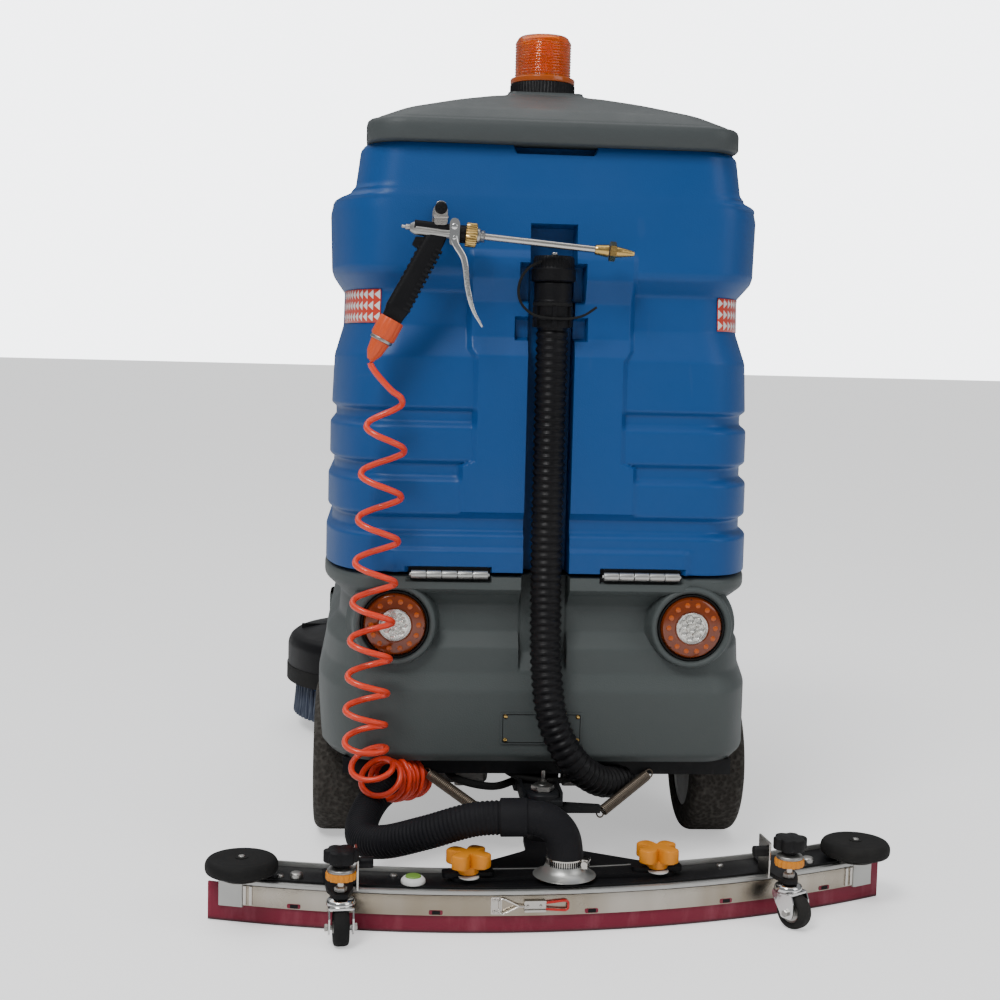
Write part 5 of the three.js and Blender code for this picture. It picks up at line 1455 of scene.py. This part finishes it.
def toggle_latch():
    """The band's draw latch: a riveted plate that stays, and a wire bail, a toggle and a sleeved loop that
    swing."""
    r = BLADE_ARC + 7.2
    base = on_arc(upright(plate(15, 24, 2) + (0, 41), -1.4, 0), -101, r)
    rivets = [on_arc(dome_screw((dx, -1.4, z), (0, -1, 0), 2.6), -101, r) for dx in (-3, 3) for z in (33,
                                                                                                      49)]
    piece("latch_plate", "squeegee", ("stainless", *map(swung, (base, *rivets))), crease=35)
    t = math.asin(-60 / r)

    def beside(points):
        """(along, out, up) points bent round the blade's arc."""
        x = np.array(points, float)
        t = np.arcsin(x[:, 0] / r)
        return np.column_stack([(r + x[:, 1]) * np.sin(t), BLADE_Y + BLADE_ARC - (r + x[:, 1]) * np.cos(t),
                                x[:, 2]])

    bail = carried(beside(eased([(-62, 5, 41), (-70, 5, 41), (-92, 4.4, 52), (-97, 4, 50), (-97, 4, 32),
                                 (-92, 4.4, 30),
                                 (-70, 5, 41)], 3, 5)), ring(1.3, 10), (0, 1, 0))
    body = [on_arc(upright(plate(30, h, 1.5) + (0, 41 + dz), -d, -1), -48, r)
            for h, dz, d in ((14, 0, 4), (3, 6.4, 7), (3, -6.4, 7))]
    rivet = [on_arc(dome_screw((dx, -4, 41), (0, -1, 0), 2.2), -48, r) for dx in (-10, 8)]
    loop = carried(beside(eased([(-33, 5, 36.6), (-6, 4, 34), (-2, 4, 36), (-2, 4, 46), (-6, 4, 48),
                                 (-33, 5, 45.4)],
                                3, 5)), ring(1.7, 10), (0, 1, 0))
    piece("latch_toggle", "band_latch", ("stainless", *map(swung, (bail, *body, *rivet))),
          ("red_plastic", swung(loop)),
          stands_for=("band_latch",), crease=35)


squeegee_body()
outlet()
for side, word in ((-1, "left"), (1, "right")):
    side_fittings(side, word)
toggle_latch()


# Lift springs: close coils with a hook at each end

def lift_spring(side, word):
    """A helix about the line from the arm to the frame, x = r cos t, y = r sin t with t one turn for each
    wire's width and a little, and a half-loop hook at both ends."""
    low, high = np.array((side * 84, -640, 105.0)), np.array((side * 176, -574, 155.0))
    along = unit(high - low)
    out = unit(np.cross(along, (0, 1, 0)))
    over = np.cross(along, out)
    length = np.linalg.norm(high - low) - 24
    turns = length / 2.9
    t = np.linspace(0, 1, int(turns) * 14)
    angle = 2 * np.pi * turns * t
    coil = (low + along * 12 + along * (t * length)[:, None] + 7.4 * np.cos(angle)[:, None] * out
            + 7.4 * np.sin(angle)[:, None] * over)
    hooks = []
    for at, way in ((low + along * 12, -1), (high - along * 12, 1)):
        a = np.linspace(-0.5 * np.pi, 1.25 * np.pi, 24)
        hooks.append(at + along * way * 6 + 6.4 * np.cos(a)[:, None] * out + 6.4 * np.sin(a)[:,
            None] * along * way)
    skins = [carried(coil, ring(1.25, 6), tuple(over + 0.31 * along + 0.2 * out)),
             *(carried(h, ring(1.25, 8), tuple(over)) for h in hooks)]
    end = tuple(low * MM), tuple(high * MM)
    piece("return_spring_" + word, ("squeegee_arm", "chassis", *end), ("spring_steel", *skins),
          stands_for=("lift_spring_" + word,), crease=60)


lift_spring(-1, "left")
lift_spring(1, "right")


# Front body: footwell, nose, dash tower and what the driver handles

def front_shell():
    """The footwell's plate, the nose and the tower as level outlines; the nose and the tower draw in as they
    rise, and their edges are turned over a few small steps."""
    deck = [(319, 312, 254, 903, 20, 20, 140), (323, 322, 252, 911, 20, 20, 148),
            (328, 326, 252, 915, 20, 20, 150),
            (344, 326, 252, 915, 20, 20, 150), (348, 324, 254, 913, 20, 20, 149),
            (350, 320, 258, 909, 18, 18, 146)]
    nose = [(196, 264, 560, 897, 20, 20, 120), (200, 270, 560, 905, 20, 20, 126),
            (215, 282, 560, 914, 20, 20, 130),
            (300, 296, 560, 915, 20, 20, 130), (330, 300, 560, 915, 20, 20, 130)]
    z = np.concatenate([np.arange(346, 920, 9.0), [921, 925, 928.5, 931]])
    knots = [344, 366, 440, 500, 620, 760, 900, 924, 932]
    half = softened(z, knots, [276, 268, 262, 238, 214, 196, 186, 183, 176], 12)
    rear = softened(z, knots, [548, 549, 552, 562, 578, 596, 600, 601, 607], 8)
    front = softened(z, knots, [896, 889, 884, 862, 848, 836, 826, 823, 816], 12)
    tower = np.column_stack([z, half, rear, front, np.full(len(z), 40.0), np.full(len(z), 40.0),
                             np.full(len(z), 90.0)])
    grid = outlines(tower, np.arange(0, 181, 12.0), 8, 16, 16, 12)
    x, y, z = (grid[..., k] for k in range(3))
    # The leg room is pressed into the back of the tower, 300 mm wide, deepest at the pedals
    depth = np.interp(z, [346, 352, 440, 690, 702], [592, 592, 601, 606, 560])
    room = window(x, -148, 148, 8) * (y < 640)
    grid[..., 1] = np.where(y < 640, mixed(y, np.maximum(y, depth), room), y)
    # The headlamp's ring of wall is drawn back round its bore
    lamp = ramp(60 - np.hypot(x, z - 620), 0, 10) * (y > 700)
    grid[..., 1] = np.where(y > 700, mixed(grid[..., 1], np.minimum(grid[..., 1], 832), lamp), grid[..., 1])
    shells = [woven(outlines(deck, np.arange(0, 301, 25.0), 6, 30, 20, 10)),
              woven(outlines(nose, np.arange(0, 241, 20.0), 6, 20, 20, 10))]
    bumper = outlines([(0, 301, 590, 917, 10, 10, 130)], np.arange(0, 241, 20.0), 4, 30, 24, 10)[0]
    rail = bumper[(bumper[:, 1] > 640)]
    order = np.argsort(np.arctan2(rail[:, 0], rail[:, 1] - 640))
    rail = rail[order] + (0, 0, 268)
    rail[:, 1] -= 7
    strip = carried(rail, bar(-6, 4, -17, 17, 4), (0, 0, 1))
    return shells + [woven(grid)], strip


body_skins, rub_rail = front_shell()
mat_outline = eased([(-296, 262), (296, 262), (296, 536), (-296, 536)], 22, 6, closed=True)
mat = slab(mat_outline, 349.6, 353)
studs = [placed(turned([(0, 0), (9, 0), (7.6, 1.5), (0, 1.8)], 10), shift=(x, y, 352.6))
         for x in np.arange(-270, 271, 45) for y in np.arange(284, 520, 42)]
piece("front_moulding", "chassis", ("blue_plastic", *body_skins), ("black_rubber", rub_rail, mat, *studs),
      stands_for=("front_body",), crease=38)


def headlamp():
    """A chromed bezel, a dished reflector with a bulb, and a ribbed clear cover."""
    at, out = (0, 824, 620), (0, 1, 0)
    bezel = standing(eased([(44, 0), (54, 0), (56, 12), (52, 20), (46, 20), (44, 12), (44, 0)], 2), at, out,
                     72)
    dish = standing([(44, 16), (38, 8), (24, 1), (9, -3), (9, -6), (46, -6)], at, out, 56)
    bulb = standing(eased([(0, -3), (6, -3), (6.5, 6), (4, 11), (0, 12)], 1.5), at, out, 24)
    cover = fluted([(0, 15, 0), (45, 15, 0), (45, 17, 0), (40, 22, 0), (24, 25, 1), (0, 26, 0)], 16, 0.6, 96)
    piece("headlamp", "chassis", ("chrome_trim", bezel), ("reflector", dish), ("amber_glow", bulb),
          ("clear_lens", placed(cover, facing(out), at)), stands_for=("headlight",), crease=35)


headlamp()

DASH_TILT = 24.4
COLUMN_TILT = 30
COLUMN_AXIS = np.array((0, -math.sin(math.radians(COLUMN_TILT)), math.cos(math.radians(COLUMN_TILT))))
COLUMN_TOP = np.array((0, 552, 1026.0))


def on_dash(skin, x, y):
    """From a level frame onto the sloping dash, at a place on it."""
    return placed(skin, about("X", DASH_TILT), (x, y, 944 + (y - 600) * math.tan(math.radians(DASH_TILT))))


def dash():
    """The wedge as one bevelled side profile; a recessed panel, a meter, switches and lamps stand on its
    slope."""
    wedge = across(eased([(601, 932.4), (821, 932.4), (821, 1008), (790, 1029), (601, 943)], 6, 5,
                         closed=True), -171, 171)
    # The recessed panel is a near-black slab: painted shade for its hollow.
    inset = on_dash(slab(plate(300, 150, 12) + (0, 0), -0.4, 1.4), 0, 700)
    lip = on_dash(carried(np.column_stack([plate(306, 156, 14), np.full(24, 1.0)]), ring(2.4, 8), (0, 0, 1),
                          loop=True),
                  0, 700)
    meter_ring = on_dash(turned(eased([(25, 1), (31, 1), (31, 5), (27, 7), (25, 4)], 0.8), 56), 0, 724)
    meter_face = on_dash(turned([(0, 1), (26, 1), (26, 3), (0, 3)], 48), 0, 724)
    needle = on_dash(placed(block(-0.7, 0.7, -4, 19, 3.2, 4.2), about("Z", 38)), 0, 724)
    ticks = [on_dash(placed(block(-0.5, 0.5, 17, 22, 3, 3.6), about("Z", a)), 0, 724) for a in range(-120,
        121, 24)]
    rockers = [on_dash(slab(plate(20, 34, 3), 1, 6), x, 668) for x in (-84, -50, 50, 84)]
    frames = [on_dash(slab(plate(25, 39, 4), 0.8, 3), x, 668) for x in (-84, -50, 50, 84)]
    lamps = [on_dash(turned(eased([(0, 1), (5, 1), (5, 3), (0, 5)], 1.2), 20), x, 757) for x in (-40, -13.3,
                                                                                                 13.3, 40)]
    column = standing(eased([(0, 0), (34, 0), (34, 40), (27, 52), (26, 118), (22, 121), (0, 121)], 3, 5),
                      COLUMN_TOP - COLUMN_AXIS * 121, COLUMN_AXIS, 48)
    folds = [standing([(27, 0), (30.5, 3), (27, 6)], COLUMN_TOP - COLUMN_AXIS * (66 - 9 * k), COLUMN_AXIS,
                      48) for k in range(5)]
    piece("dash_moulding", "chassis", ("black_plastic", wedge, column, meter_ring, *frames),
          ("black_rubber", lip, *folds, *rockers), ("dark_pocket", inset), ("white_nylon", meter_face),
          ("red_plastic", needle, lamps[0]), ("green_plastic", lamps[1], lamps[2]), ("amber_glow", lamps[3]),
          ("black_rubber", *ticks), stands_for=("dash_panel",), crease=35)
    stop = turned(eased([(0, -8), (9, -8), (9, 7), (18, 8.5), (20.5, 12), (20.5, 18), (16, 24), (0, 27)], 2,
                        5), 64)
    collar = turned(eased([(0, 0.6), (25, 0.6), (25, 4), (22, 6), (0, 6)], 1), 56)
    piece("stop_button", "emergency_stop", ("red_plastic", on_dash(stop, 120, 716)),
          stands_for=("emergency_stop",))
    barrel = turned(eased([(0, 0.6), (13, 0.6), (13, 4), (9.4, 5.4), (0, 5.4)], 0.8), 40)
    piece("dash_collars", "chassis", ("yellow_plastic", on_dash(collar, 120, 716)),
          ("zinc", on_dash(barrel, -120, 716)))
    plug = turned([(0, -12), (7.6, -12), (7.6, 6.4), (0, 6.4)], 32)
    bow = across(eased([(-9.5, 12), (9.5, 12), (11, 22), (6, 31), (-6, 31), (-11, 22)], 3, 5, closed=True),
                 -1.8, 1.8)
    blade = block(-1, 1, -3.6, 3.6, 6, 13)
    piece("key", "key_switch", ("stainless", on_dash(plug, -120, 716), on_dash(blade, -120, 716)),
          ("black_plastic", on_dash(bow, -120, 716)), stands_for=("key_switch",), bevel=0.3)


dash()


def steering():
    """A padded rim, thicker where the fingers close, with three flat spokes and a domed hub, all square to
    the column. The rim's section grows by a cosine of the way round."""
    centre = COLUMN_TOP + COLUMN_AXIS * 22.6
    t = np.linspace(0, 2 * np.pi, 144, endpoint=False)
    path = np.column_stack([165 * np.cos(t), 165 * np.sin(t), 0 * t])
    grips = 12.6 + 0.35 * np.cos(36 * t)
    rim = carried(path, ring(1, 24), (0, 0, 1), grips, loop=True)
    hub = turned(eased([(0, -22), (32, -22), (38, -6), (40, 4), (32, 14), (12, 17), (0, 17)], 4, 5), 56)
    badge = turned(eased([(0, 16.6), (20, 16), (19, 18.4), (0, 19)], 0.8), 40)
    arms = []
    for a in (90, 210, 330):
        line = np.array([(24, 0, 2), (70, 0, 0), (120, 0, -3), (156, 0, 0)], float)
        arm = carried(flowing(line, 24), plate(26, 9, 4), (0, 0, 1),
                      np.interp(np.linspace(0, 1, 25), [0, 0.5, 1],
                                                                               [1.25, 0.9, 1.05]))
        arms.append(placed(arm, about("Z", a)))
    tilt = about("X", COLUMN_TILT)
    knob = standing(eased([(0, 0), (8, 0), (10, 12), (17, 18), (19, 28), (14, 36), (0, 38)], 3),
                    (-117, 117, 10), (0, 0, 1))
    piece("steering_wheel_rim", "steering_wheel",
          ("black_rubber", placed(rim, tilt, centre), placed(knob, tilt, centre)),
          ("black_plastic", placed(hub, tilt, centre), *(placed(a, tilt, centre) for a in arms)),
          ("grey_plastic", placed(badge, tilt, centre)), stands_for=("steering_wheel",), crease=38)


steering()

# Pedal: a ribbed tread on its knuckle
tread = across(eased([(470, 378), (560, 430), (563, 424), (476, 372)], 1.2, 3, closed=True), 60, 130)
ribs = [placed(block(63, 127, -2.2, 2.2, 0, 3), about("X", 30), (0, 470 + d * math.cos(math.radians(30)) + 1,
                                                                378.4 + d * math.sin(math.radians(30))))
        for d in range(14, 100, 10)]
piece("pedal", "accelerator_pedal", ("black_rubber", tread, *ribs),
      ("zinc", rod((58, 474, 372), (132, 474, 372), 8, edge=1)),
      stands_for=("accelerator_pedal",), crease=35)


# Seat: two padded pieces on a moulded pan

def seat_shell():
    """The pan's side profile spread to its width, with its corners eased."""
    profile = eased([(-104, 690.4), (288, 690.4), (304, 704), (306, 722), (-52, 722), (-62, 740),
                     (-90, 1038),
                     (-108, 1038), (-109, 800)], 7, 5, closed=True)
    return across(profile, -188, 188)


piece("seat_moulding", "tank", ("black_plastic", seat_shell()), stands_for=("seat_pan",), bevel=3.0)


def pad_outline(width, depth, turn, power=4.5, waist=0.05):
    """A cushion's middle outline: |x|^p + |y|^p = 1, its sides drawn in between the corners."""
    x = np.sign(np.cos(turn)) * np.abs(np.cos(turn)) ** (2 / power)
    y = np.sign(np.sin(turn)) * np.abs(np.sin(turn)) ** (2 / power)
    pinched = x * (1 - waist * np.cos(np.pi * y / 2) ** 2), y * (1 - waist * np.cos(np.pi * x / 2) ** 2)
    return pinched[0] * width / 2, pinched[1] * depth / 2


def crowned(width, depth, height, rise=0.16, n=46):
    """A cushion: its middle outline drawn in by cos^p towards top and bottom, |z| = sin^p, and both faces
    crowned by a cosine dome."""
    u = np.linspace(-np.pi, np.pi, 4 * n, endpoint=False)[None]
    v = np.linspace(-np.pi / 2, np.pi / 2, n)[:, None]
    size = np.abs(np.cos(v)) ** 0.5
    x, y = pad_outline(width, depth, u)
    x, y = x * size, y * size
    dome = np.maximum(np.cos(np.pi * x / width) * np.cos(np.pi * y / depth), 0)
    z = np.sign(np.sin(v)) * np.abs(np.sin(v)) ** 0.55 * (1 - rise + rise * dome)
    return woven(np.stack([x, y, z * height / 2], -1))


def cushion(name, node_name, skin, turn, place, swell, channels):
    """A padded piece: the crowned form is remeshed, blown up as cloth with no gravity, held within swell of
    where it started, smoothed once, and then its channels are pressed in as smooth valleys across the
    face."""
    made = piece(name, "tank", ("seat_vinyl", skin), crease=80)
    mesh = made.data
    remesh = made.modifiers.new("remesh", "REMESH")
    remesh.mode, remesh.voxel_size = "VOXEL", 0.0055
    start = bpy.data.meshes.new_from_object(made.evaluated_get(bpy.context.evaluated_depsgraph_get()))
    made.modifiers.clear()
    made.data = start
    rest = np.empty(len(start.vertices) * 3, np.float32)
    start.vertices.foreach_get("co", rest)
    cloth = made.modifiers.new("cloth", "CLOTH")
    cloth.settings.use_pressure = True
    cloth.settings.uniform_pressure_force = 4.0
    cloth.settings.effector_weights.gravity = 0
    cloth.settings.quality = 4
    cloth.collision_settings.use_self_collision = False
    cloth.collision_settings.use_collision = False
    for step in range(1, 21):
        bpy.context.scene.frame_set(step)
    blown = bpy.data.meshes.new_from_object(made.evaluated_get(bpy.context.evaluated_depsgraph_get()))
    made.modifiers.clear()
    bpy.context.scene.frame_set(1)
    now = np.empty_like(rest)
    blown.vertices.foreach_get("co", now)
    move = (now - rest).reshape(-1, 3)
    size = np.linalg.norm(move, axis=1, keepdims=True)
    move *= np.minimum(1, swell / np.maximum(size, 1e-9))
    start.vertices.foreach_set("co", (rest.reshape(-1, 3) + move).ravel())
    made.data = start
    smooth = made.modifiers.new("round", "SUBSURF")
    smooth.levels = smooth.render_levels = 1
    mesh = bpy.data.meshes.new_from_object(made.evaluated_get(bpy.context.evaluated_depsgraph_get()))
    made.modifiers.clear()
    made.data = mesh
    if not mesh.materials:
        mesh.materials.append(FINISH["seat_vinyl"])
    points = np.empty(len(mesh.vertices) * 3, np.float32)
    mesh.vertices.foreach_get("co", points)
    points = points.reshape(-1, 3).astype(float) / MM
    points = channels(points)
    points, _ = placed((points, []), turn, place)
    mesh.vertices.foreach_set("co", (points * MM).astype(np.float32).ravel())
    mesh.update()
    mesh.shade_smooth()
    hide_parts(node_name)
    return made


def valley(distance, depth, wide):
    """A smooth valley: depth times e to the minus square of the distance over its width."""
    return depth * np.exp(-(distance / wide) ** 2)


def seat_channels(points):
    """Two sewn channels along the seat and one across its front, on the upper face only."""
    x, y, z = points.T
    face = ramp(z, -5, 12)
    dip = valley(np.abs(x) - 118, 7, 7) + valley(y - 112, 6, 7) * (np.abs(x) < 118)
    z = z - dip * face
    return np.column_stack([x, y, z])


def back_channels(points):
    """Three channels across the backrest, on its front face only."""
    x, y, z = points.T
    face = ramp(y, -4, 10)
    dip = sum(valley(z - h, 6, 7) for h in (-62, 0, 62)) * (np.abs(x) < 176)
    return np.column_stack([x, y - dip * face, z])


seat_place, back_place = (0, 146, 760), (0, -50, 942)
back_turn = about("X", 6.1)
cushion("seat_cushion_pad", "seat_cushion", crowned(410, 352, 70), np.eye(3), seat_place, 0.007,
        seat_channels)
upright_form = placed(crowned(402, 244, 52), about("X", 90))
cushion("seat_back_pad", "seat_back", upright_form, back_turn, back_place, 0.005, back_channels)


def piping(name, width, depth, place, turn):
    """A round welt carried round a cushion's middle seam."""
    x, y = pad_outline(width, depth, np.linspace(-np.pi, np.pi, 240, endpoint=False))
    path = np.column_stack([x, y, 0 * x])
    piece(name, "tank", ("black_rubber", placed(carried(path, ring(3.6, 10), (0, 0, 1), loop=True), turn,
                                                place)))


piping("seat_piping", 419, 361, seat_place, np.eye(3))
piping("back_piping", 409, 250, back_place, back_turn @ about("X", 90))


# Scrub deck: two round covers over bristle discs

def deck():
    """Turned covers with a rolled skirt and radial ribs, their motors with cooling fins, and a bridge."""
    skins, metal, rubber = [], [], []
    for x in (-215, 215):
        cover = turned(eased([(0, 128.4), (222, 128.4), (224, 131), (224, 180), (218, 194), (206, 203),
                              (152, 213.6),
                              (0, 213.6)], 5, 5), 96)
        skins.append(placed(cover, shift=(x, 390, 0)))
        skins += [placed(block(70, 196, -3, 3, 200, 214.5), about("Z", a), (x, 390, 0)) for a in range(0,
            360, 45)]
        can = fluted([(0, 210, 0), (60, 210, 0), (62, 214, 1), (62, 286, 1), (58, 296, 0), (50, 309, 0),
                      (0, 309.5, 0)],
                     28, 3.0, 168)
        metal.append(placed(can, shift=(x, 390, 0)))
        rubber.append(placed(turned(eased([(221, 104), (226, 104), (226, 136), (221, 136)], 1), 96),
                             shift=(x, 390, 0)))
    skins.append(slab(eased([(-150, 270), (150, 270), (150, 500), (-150, 500)], 18, 5, closed=True), 128.4,
                      213.6))
    metal.append(block(-26, 26, 350, 430, 210, 261.6))
    metal += [rod((-32, 390 + d, 240), (32, 390 + d, 240), 6, edge=1) for d in (-26, 26)]
    piece("deck_covers", "brush_deck", ("black_plastic", *skins), ("cast_aluminium", *metal),
          ("black_rubber", *rubber),
          stands_for=("brush_deck",), crease=35)
    for side, word in ((-1, "left"), (1, "right")):
        at = (side * 215, 390, 0)
        back = turned(eased([(0, 99), (60, 97), (78, 94), (200, 94), (206, 98), (206, 116), (40, 126.6),
                             (0, 126.6)],
                            1.5), 96)
        tufts = []
        for r, n in ((202, 84), (184, 76), (166, 68), (148, 60), (130, 54), (112, 46), (94, 40)):
            a = np.linspace(0, 2 * np.pi, n, endpoint=False)
            base = np.column_stack([r * np.cos(a), r * np.sin(a)])
            # A tuft is a six-sided bundle that spreads from its root to its tip
            h = np.linspace(0, 2 * np.pi, 6, endpoint=False)
            spread = np.array([(4.2, 96), (4.8, 70), (6.6, 32.5)])
            rows = np.stack([np.stack([base[:, None, 0] + q * np.cos(h) + (96 - z) * 0.05 * np.cos(a)[:,
                                                                                                      None],
                                       base[:, None, 1] + q * np.sin(h) + (96 - z) * 0.05 * np.sin(a)[:,
                                                                                                      None],
                                       np.full((n, 6), z)], -1) for q, z in spread], 1)
            grid = np.arange(n * 18).reshape(n, 3, 6)
            turned_on = np.roll(grid, -1, axis=2)
            walls = np.stack([turned_on[:, :-1], grid[:, :-1], grid[:, 1:], turned_on[:, 1:]],
                             -1).reshape(-1, 4)
            tufts.append((rows.reshape(-1, 3), [walls, grid[:, 2]]))
        piece("scrub_disc_" + word, "brush_" + word, ("blue_plastic", placed(back, shift=at)),
              ("bristle", *(placed(tuft, shift=at) for tuft in tufts)), stands_for=("brush_" + word,),
              crease=50)


deck()


# Under the body

def steering_fork():
    """A turned crown plate, two tapered legs that hold the axle, and the axle with its nuts."""
    crown = placed(turned(eased([(0, 263), (50, 263), (58, 268), (58, 286), (54, 287.6), (0, 287.6)], 2),
                          64), shift=(0, STEER_Y, 0))
    legs = [across(eased([(STEER_Y - 36, 272), (STEER_Y - 18, 112), (STEER_Y - 8, 106), (STEER_Y + 8, 106),
                          (STEER_Y + 18, 112), (STEER_Y + 36, 272)], 8, 5, closed=True), x,
                   x + 9) for x in (-56, 47)]
    axle = rod((-60, STEER_Y, TYRE_RADIUS), (60, STEER_Y, TYRE_RADIUS), 9.6, edge=1)
    nuts = [hexagon((d * 56.5, STEER_Y, TYRE_RADIUS), (d, 0, 0), 26, 9) for d in (-1, 1)]
    piece("steering_fork", "front_fork", ("frame_enamel", crown, *legs), ("zinc", axle, *nuts),
          stands_for=("front_fork",), crease=35)


steering_fork()


def drive_unit():
    """A finned gear case with a bolted ring on the axle tube, its motor ahead and the hangers."""
    lie = about("Y", 90)
    case = placed(fluted([(0, 0, 0), (44, 0, 0), (49, 5, 1), (49, 85, 1), (44, 90, 0), (0, 90, 0)], 18, 3,
                         120), lie,
                  (-155, AXLE_Y, TYRE_RADIUS))
    flange = placed(turned(eased([(0, 0), (54, 0), (54, 8), (0, 8)], 1), 56), lie,
                    (-114, AXLE_Y, TYRE_RADIUS))
    bolts = [hexagon((-106, AXLE_Y + 48 * math.cos(a), TYRE_RADIUS + 48 * math.sin(a)), (1, 0, 0), 10, 6)
             for a in np.linspace(0, 2 * np.pi, 9)[:8]]
    ribs = [placed(turned([(46, 0), (55, 2), (55, 5), (46, 7)], 48), lie,
                   (x, AXLE_Y, TYRE_RADIUS)) for x in (-150, -78)]
    tube = rod((-246, AXLE_Y, TYRE_RADIUS), (246, AXLE_Y, TYRE_RADIUS), 22)
    shaft = rod((-312, AXLE_Y, TYRE_RADIUS), (312, AXLE_Y, TYRE_RADIUS), 12)
    motor = standing(eased([(0, 0), (44, 0), (46, 4), (46, 226), (40, 230), (0, 230)], 2),
                     (-110, AXLE_Y, TYRE_RADIUS),
                     (0, 1, 0), 56)
    boss = standing(eased([(0, 0), (26, 0), (26, 46), (20, 52), (0, 52)], 2), (-118, AXLE_Y, 118),
                    (0, -1, 0.1), 32)
    filler = hexagon((-118, -402, 113), (0, -1, 0), 22, 8)
    hangers = [block(x, x + 30, AXLE_Y - 26, AXLE_Y + 26, 130, 175.6) for x in (-200, 165)]
    piece("drive_axle", "chassis", ("cast_aluminium", case, flange, boss, *ribs),
          ("zinc", *bolts, shaft, filler),
          ("frame_enamel", tube, motor, *hangers), stands_for=("transaxle",), crease=35, bevel=0.0)
    # Brackets, hoses and looms that crowd the space under the housing
    cross = [block(-300, 300, -572, -560, 150, 174), block(-250, 250, -420, -400, 146, 174)]
    box_a = slab(plate(70, 60, 6) + (0, -520), 116, 176)
    plates = [slab(plate(46, 34, 4) + (x, -545), 128, 170) for x in (-105, 62)]
    bolt = rod((8, -574, 128), (8, -574, 156), 4, edge=0.5)
    looms = [carried(flowing(route, 60), ring(r, 12), (0.2, 0.1, 1)) for r, route in (
        (6, [(-150, -500, 160), (-128, -560, 140), (-70, -566, 128), (-30, -540, 132), (20, -530, 150)]),
        (5, [(-60, -470, 165), (-40, -560, 146), (30, -568, 138), (110, -545, 152), (170, -500, 166)]))]
    piece("underbody_fittings", "chassis", ("frame_enamel", *cross, box_a), ("black_rubber", *looms),
          ("cast_aluminium", *plates), ("zinc", bolt, hexagon((8, -574, 134), (0, 0, 1), 16, 7)), crease=35,
          bevel=0.0)


drive_unit()


def lift_arm():
    """The arm's bar with folded edges, its barrel, swivel head and cross ears."""
    bar_skin = across(eased([(-664, 122), (-438, 122), (-438, 134), (-664, 134)], 3, 4, closed=True), -28,
                      28)
    sides = [block(x, x + 4, -650, -450, 118, 142) for x in (-30, 26)]
    barrel = rod((-33.5, -440, 140), (33.5, -440, 140), 15, edge=1)
    head = placed(turned(eased([(0, 108), (26, 108), (26, 140), (22, 143), (0, 143)], 2), 56),
                  shift=(0, -640, 0))
    pin = placed(turned(eased([(0, 72), (9.6, 72), (9.6, 150), (7, 153), (0, 153)], 1), 32),
                 shift=(0, -640, 0))
    ears = slab(eased([(-88, -648), (88, -648), (88, -632), (30, -620), (-30, -620), (-88, -632)], 4, 4,
                      closed=True),
                110, 120)
    cap = hexagon((0, -640, 143), (0, 0, 1), 30, 9)
    piece("lift_arm", "squeegee_arm", ("frame_enamel", bar_skin, *sides, barrel, head, ears),
          ("zinc", pin, cap),
          stands_for=("squeegee_arm",), crease=35)


lift_arm()

CAD_FINISHES = {
    "chassis_frame": "frame_enamel", "battery_pack": "black_plastic", "vacuum_motor": "cast_aluminium",
}
for name, finish in CAD_FINISHES.items():
    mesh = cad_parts[name].data
    mesh.materials.clear()
    mesh.materials.append(FINISH[finish])
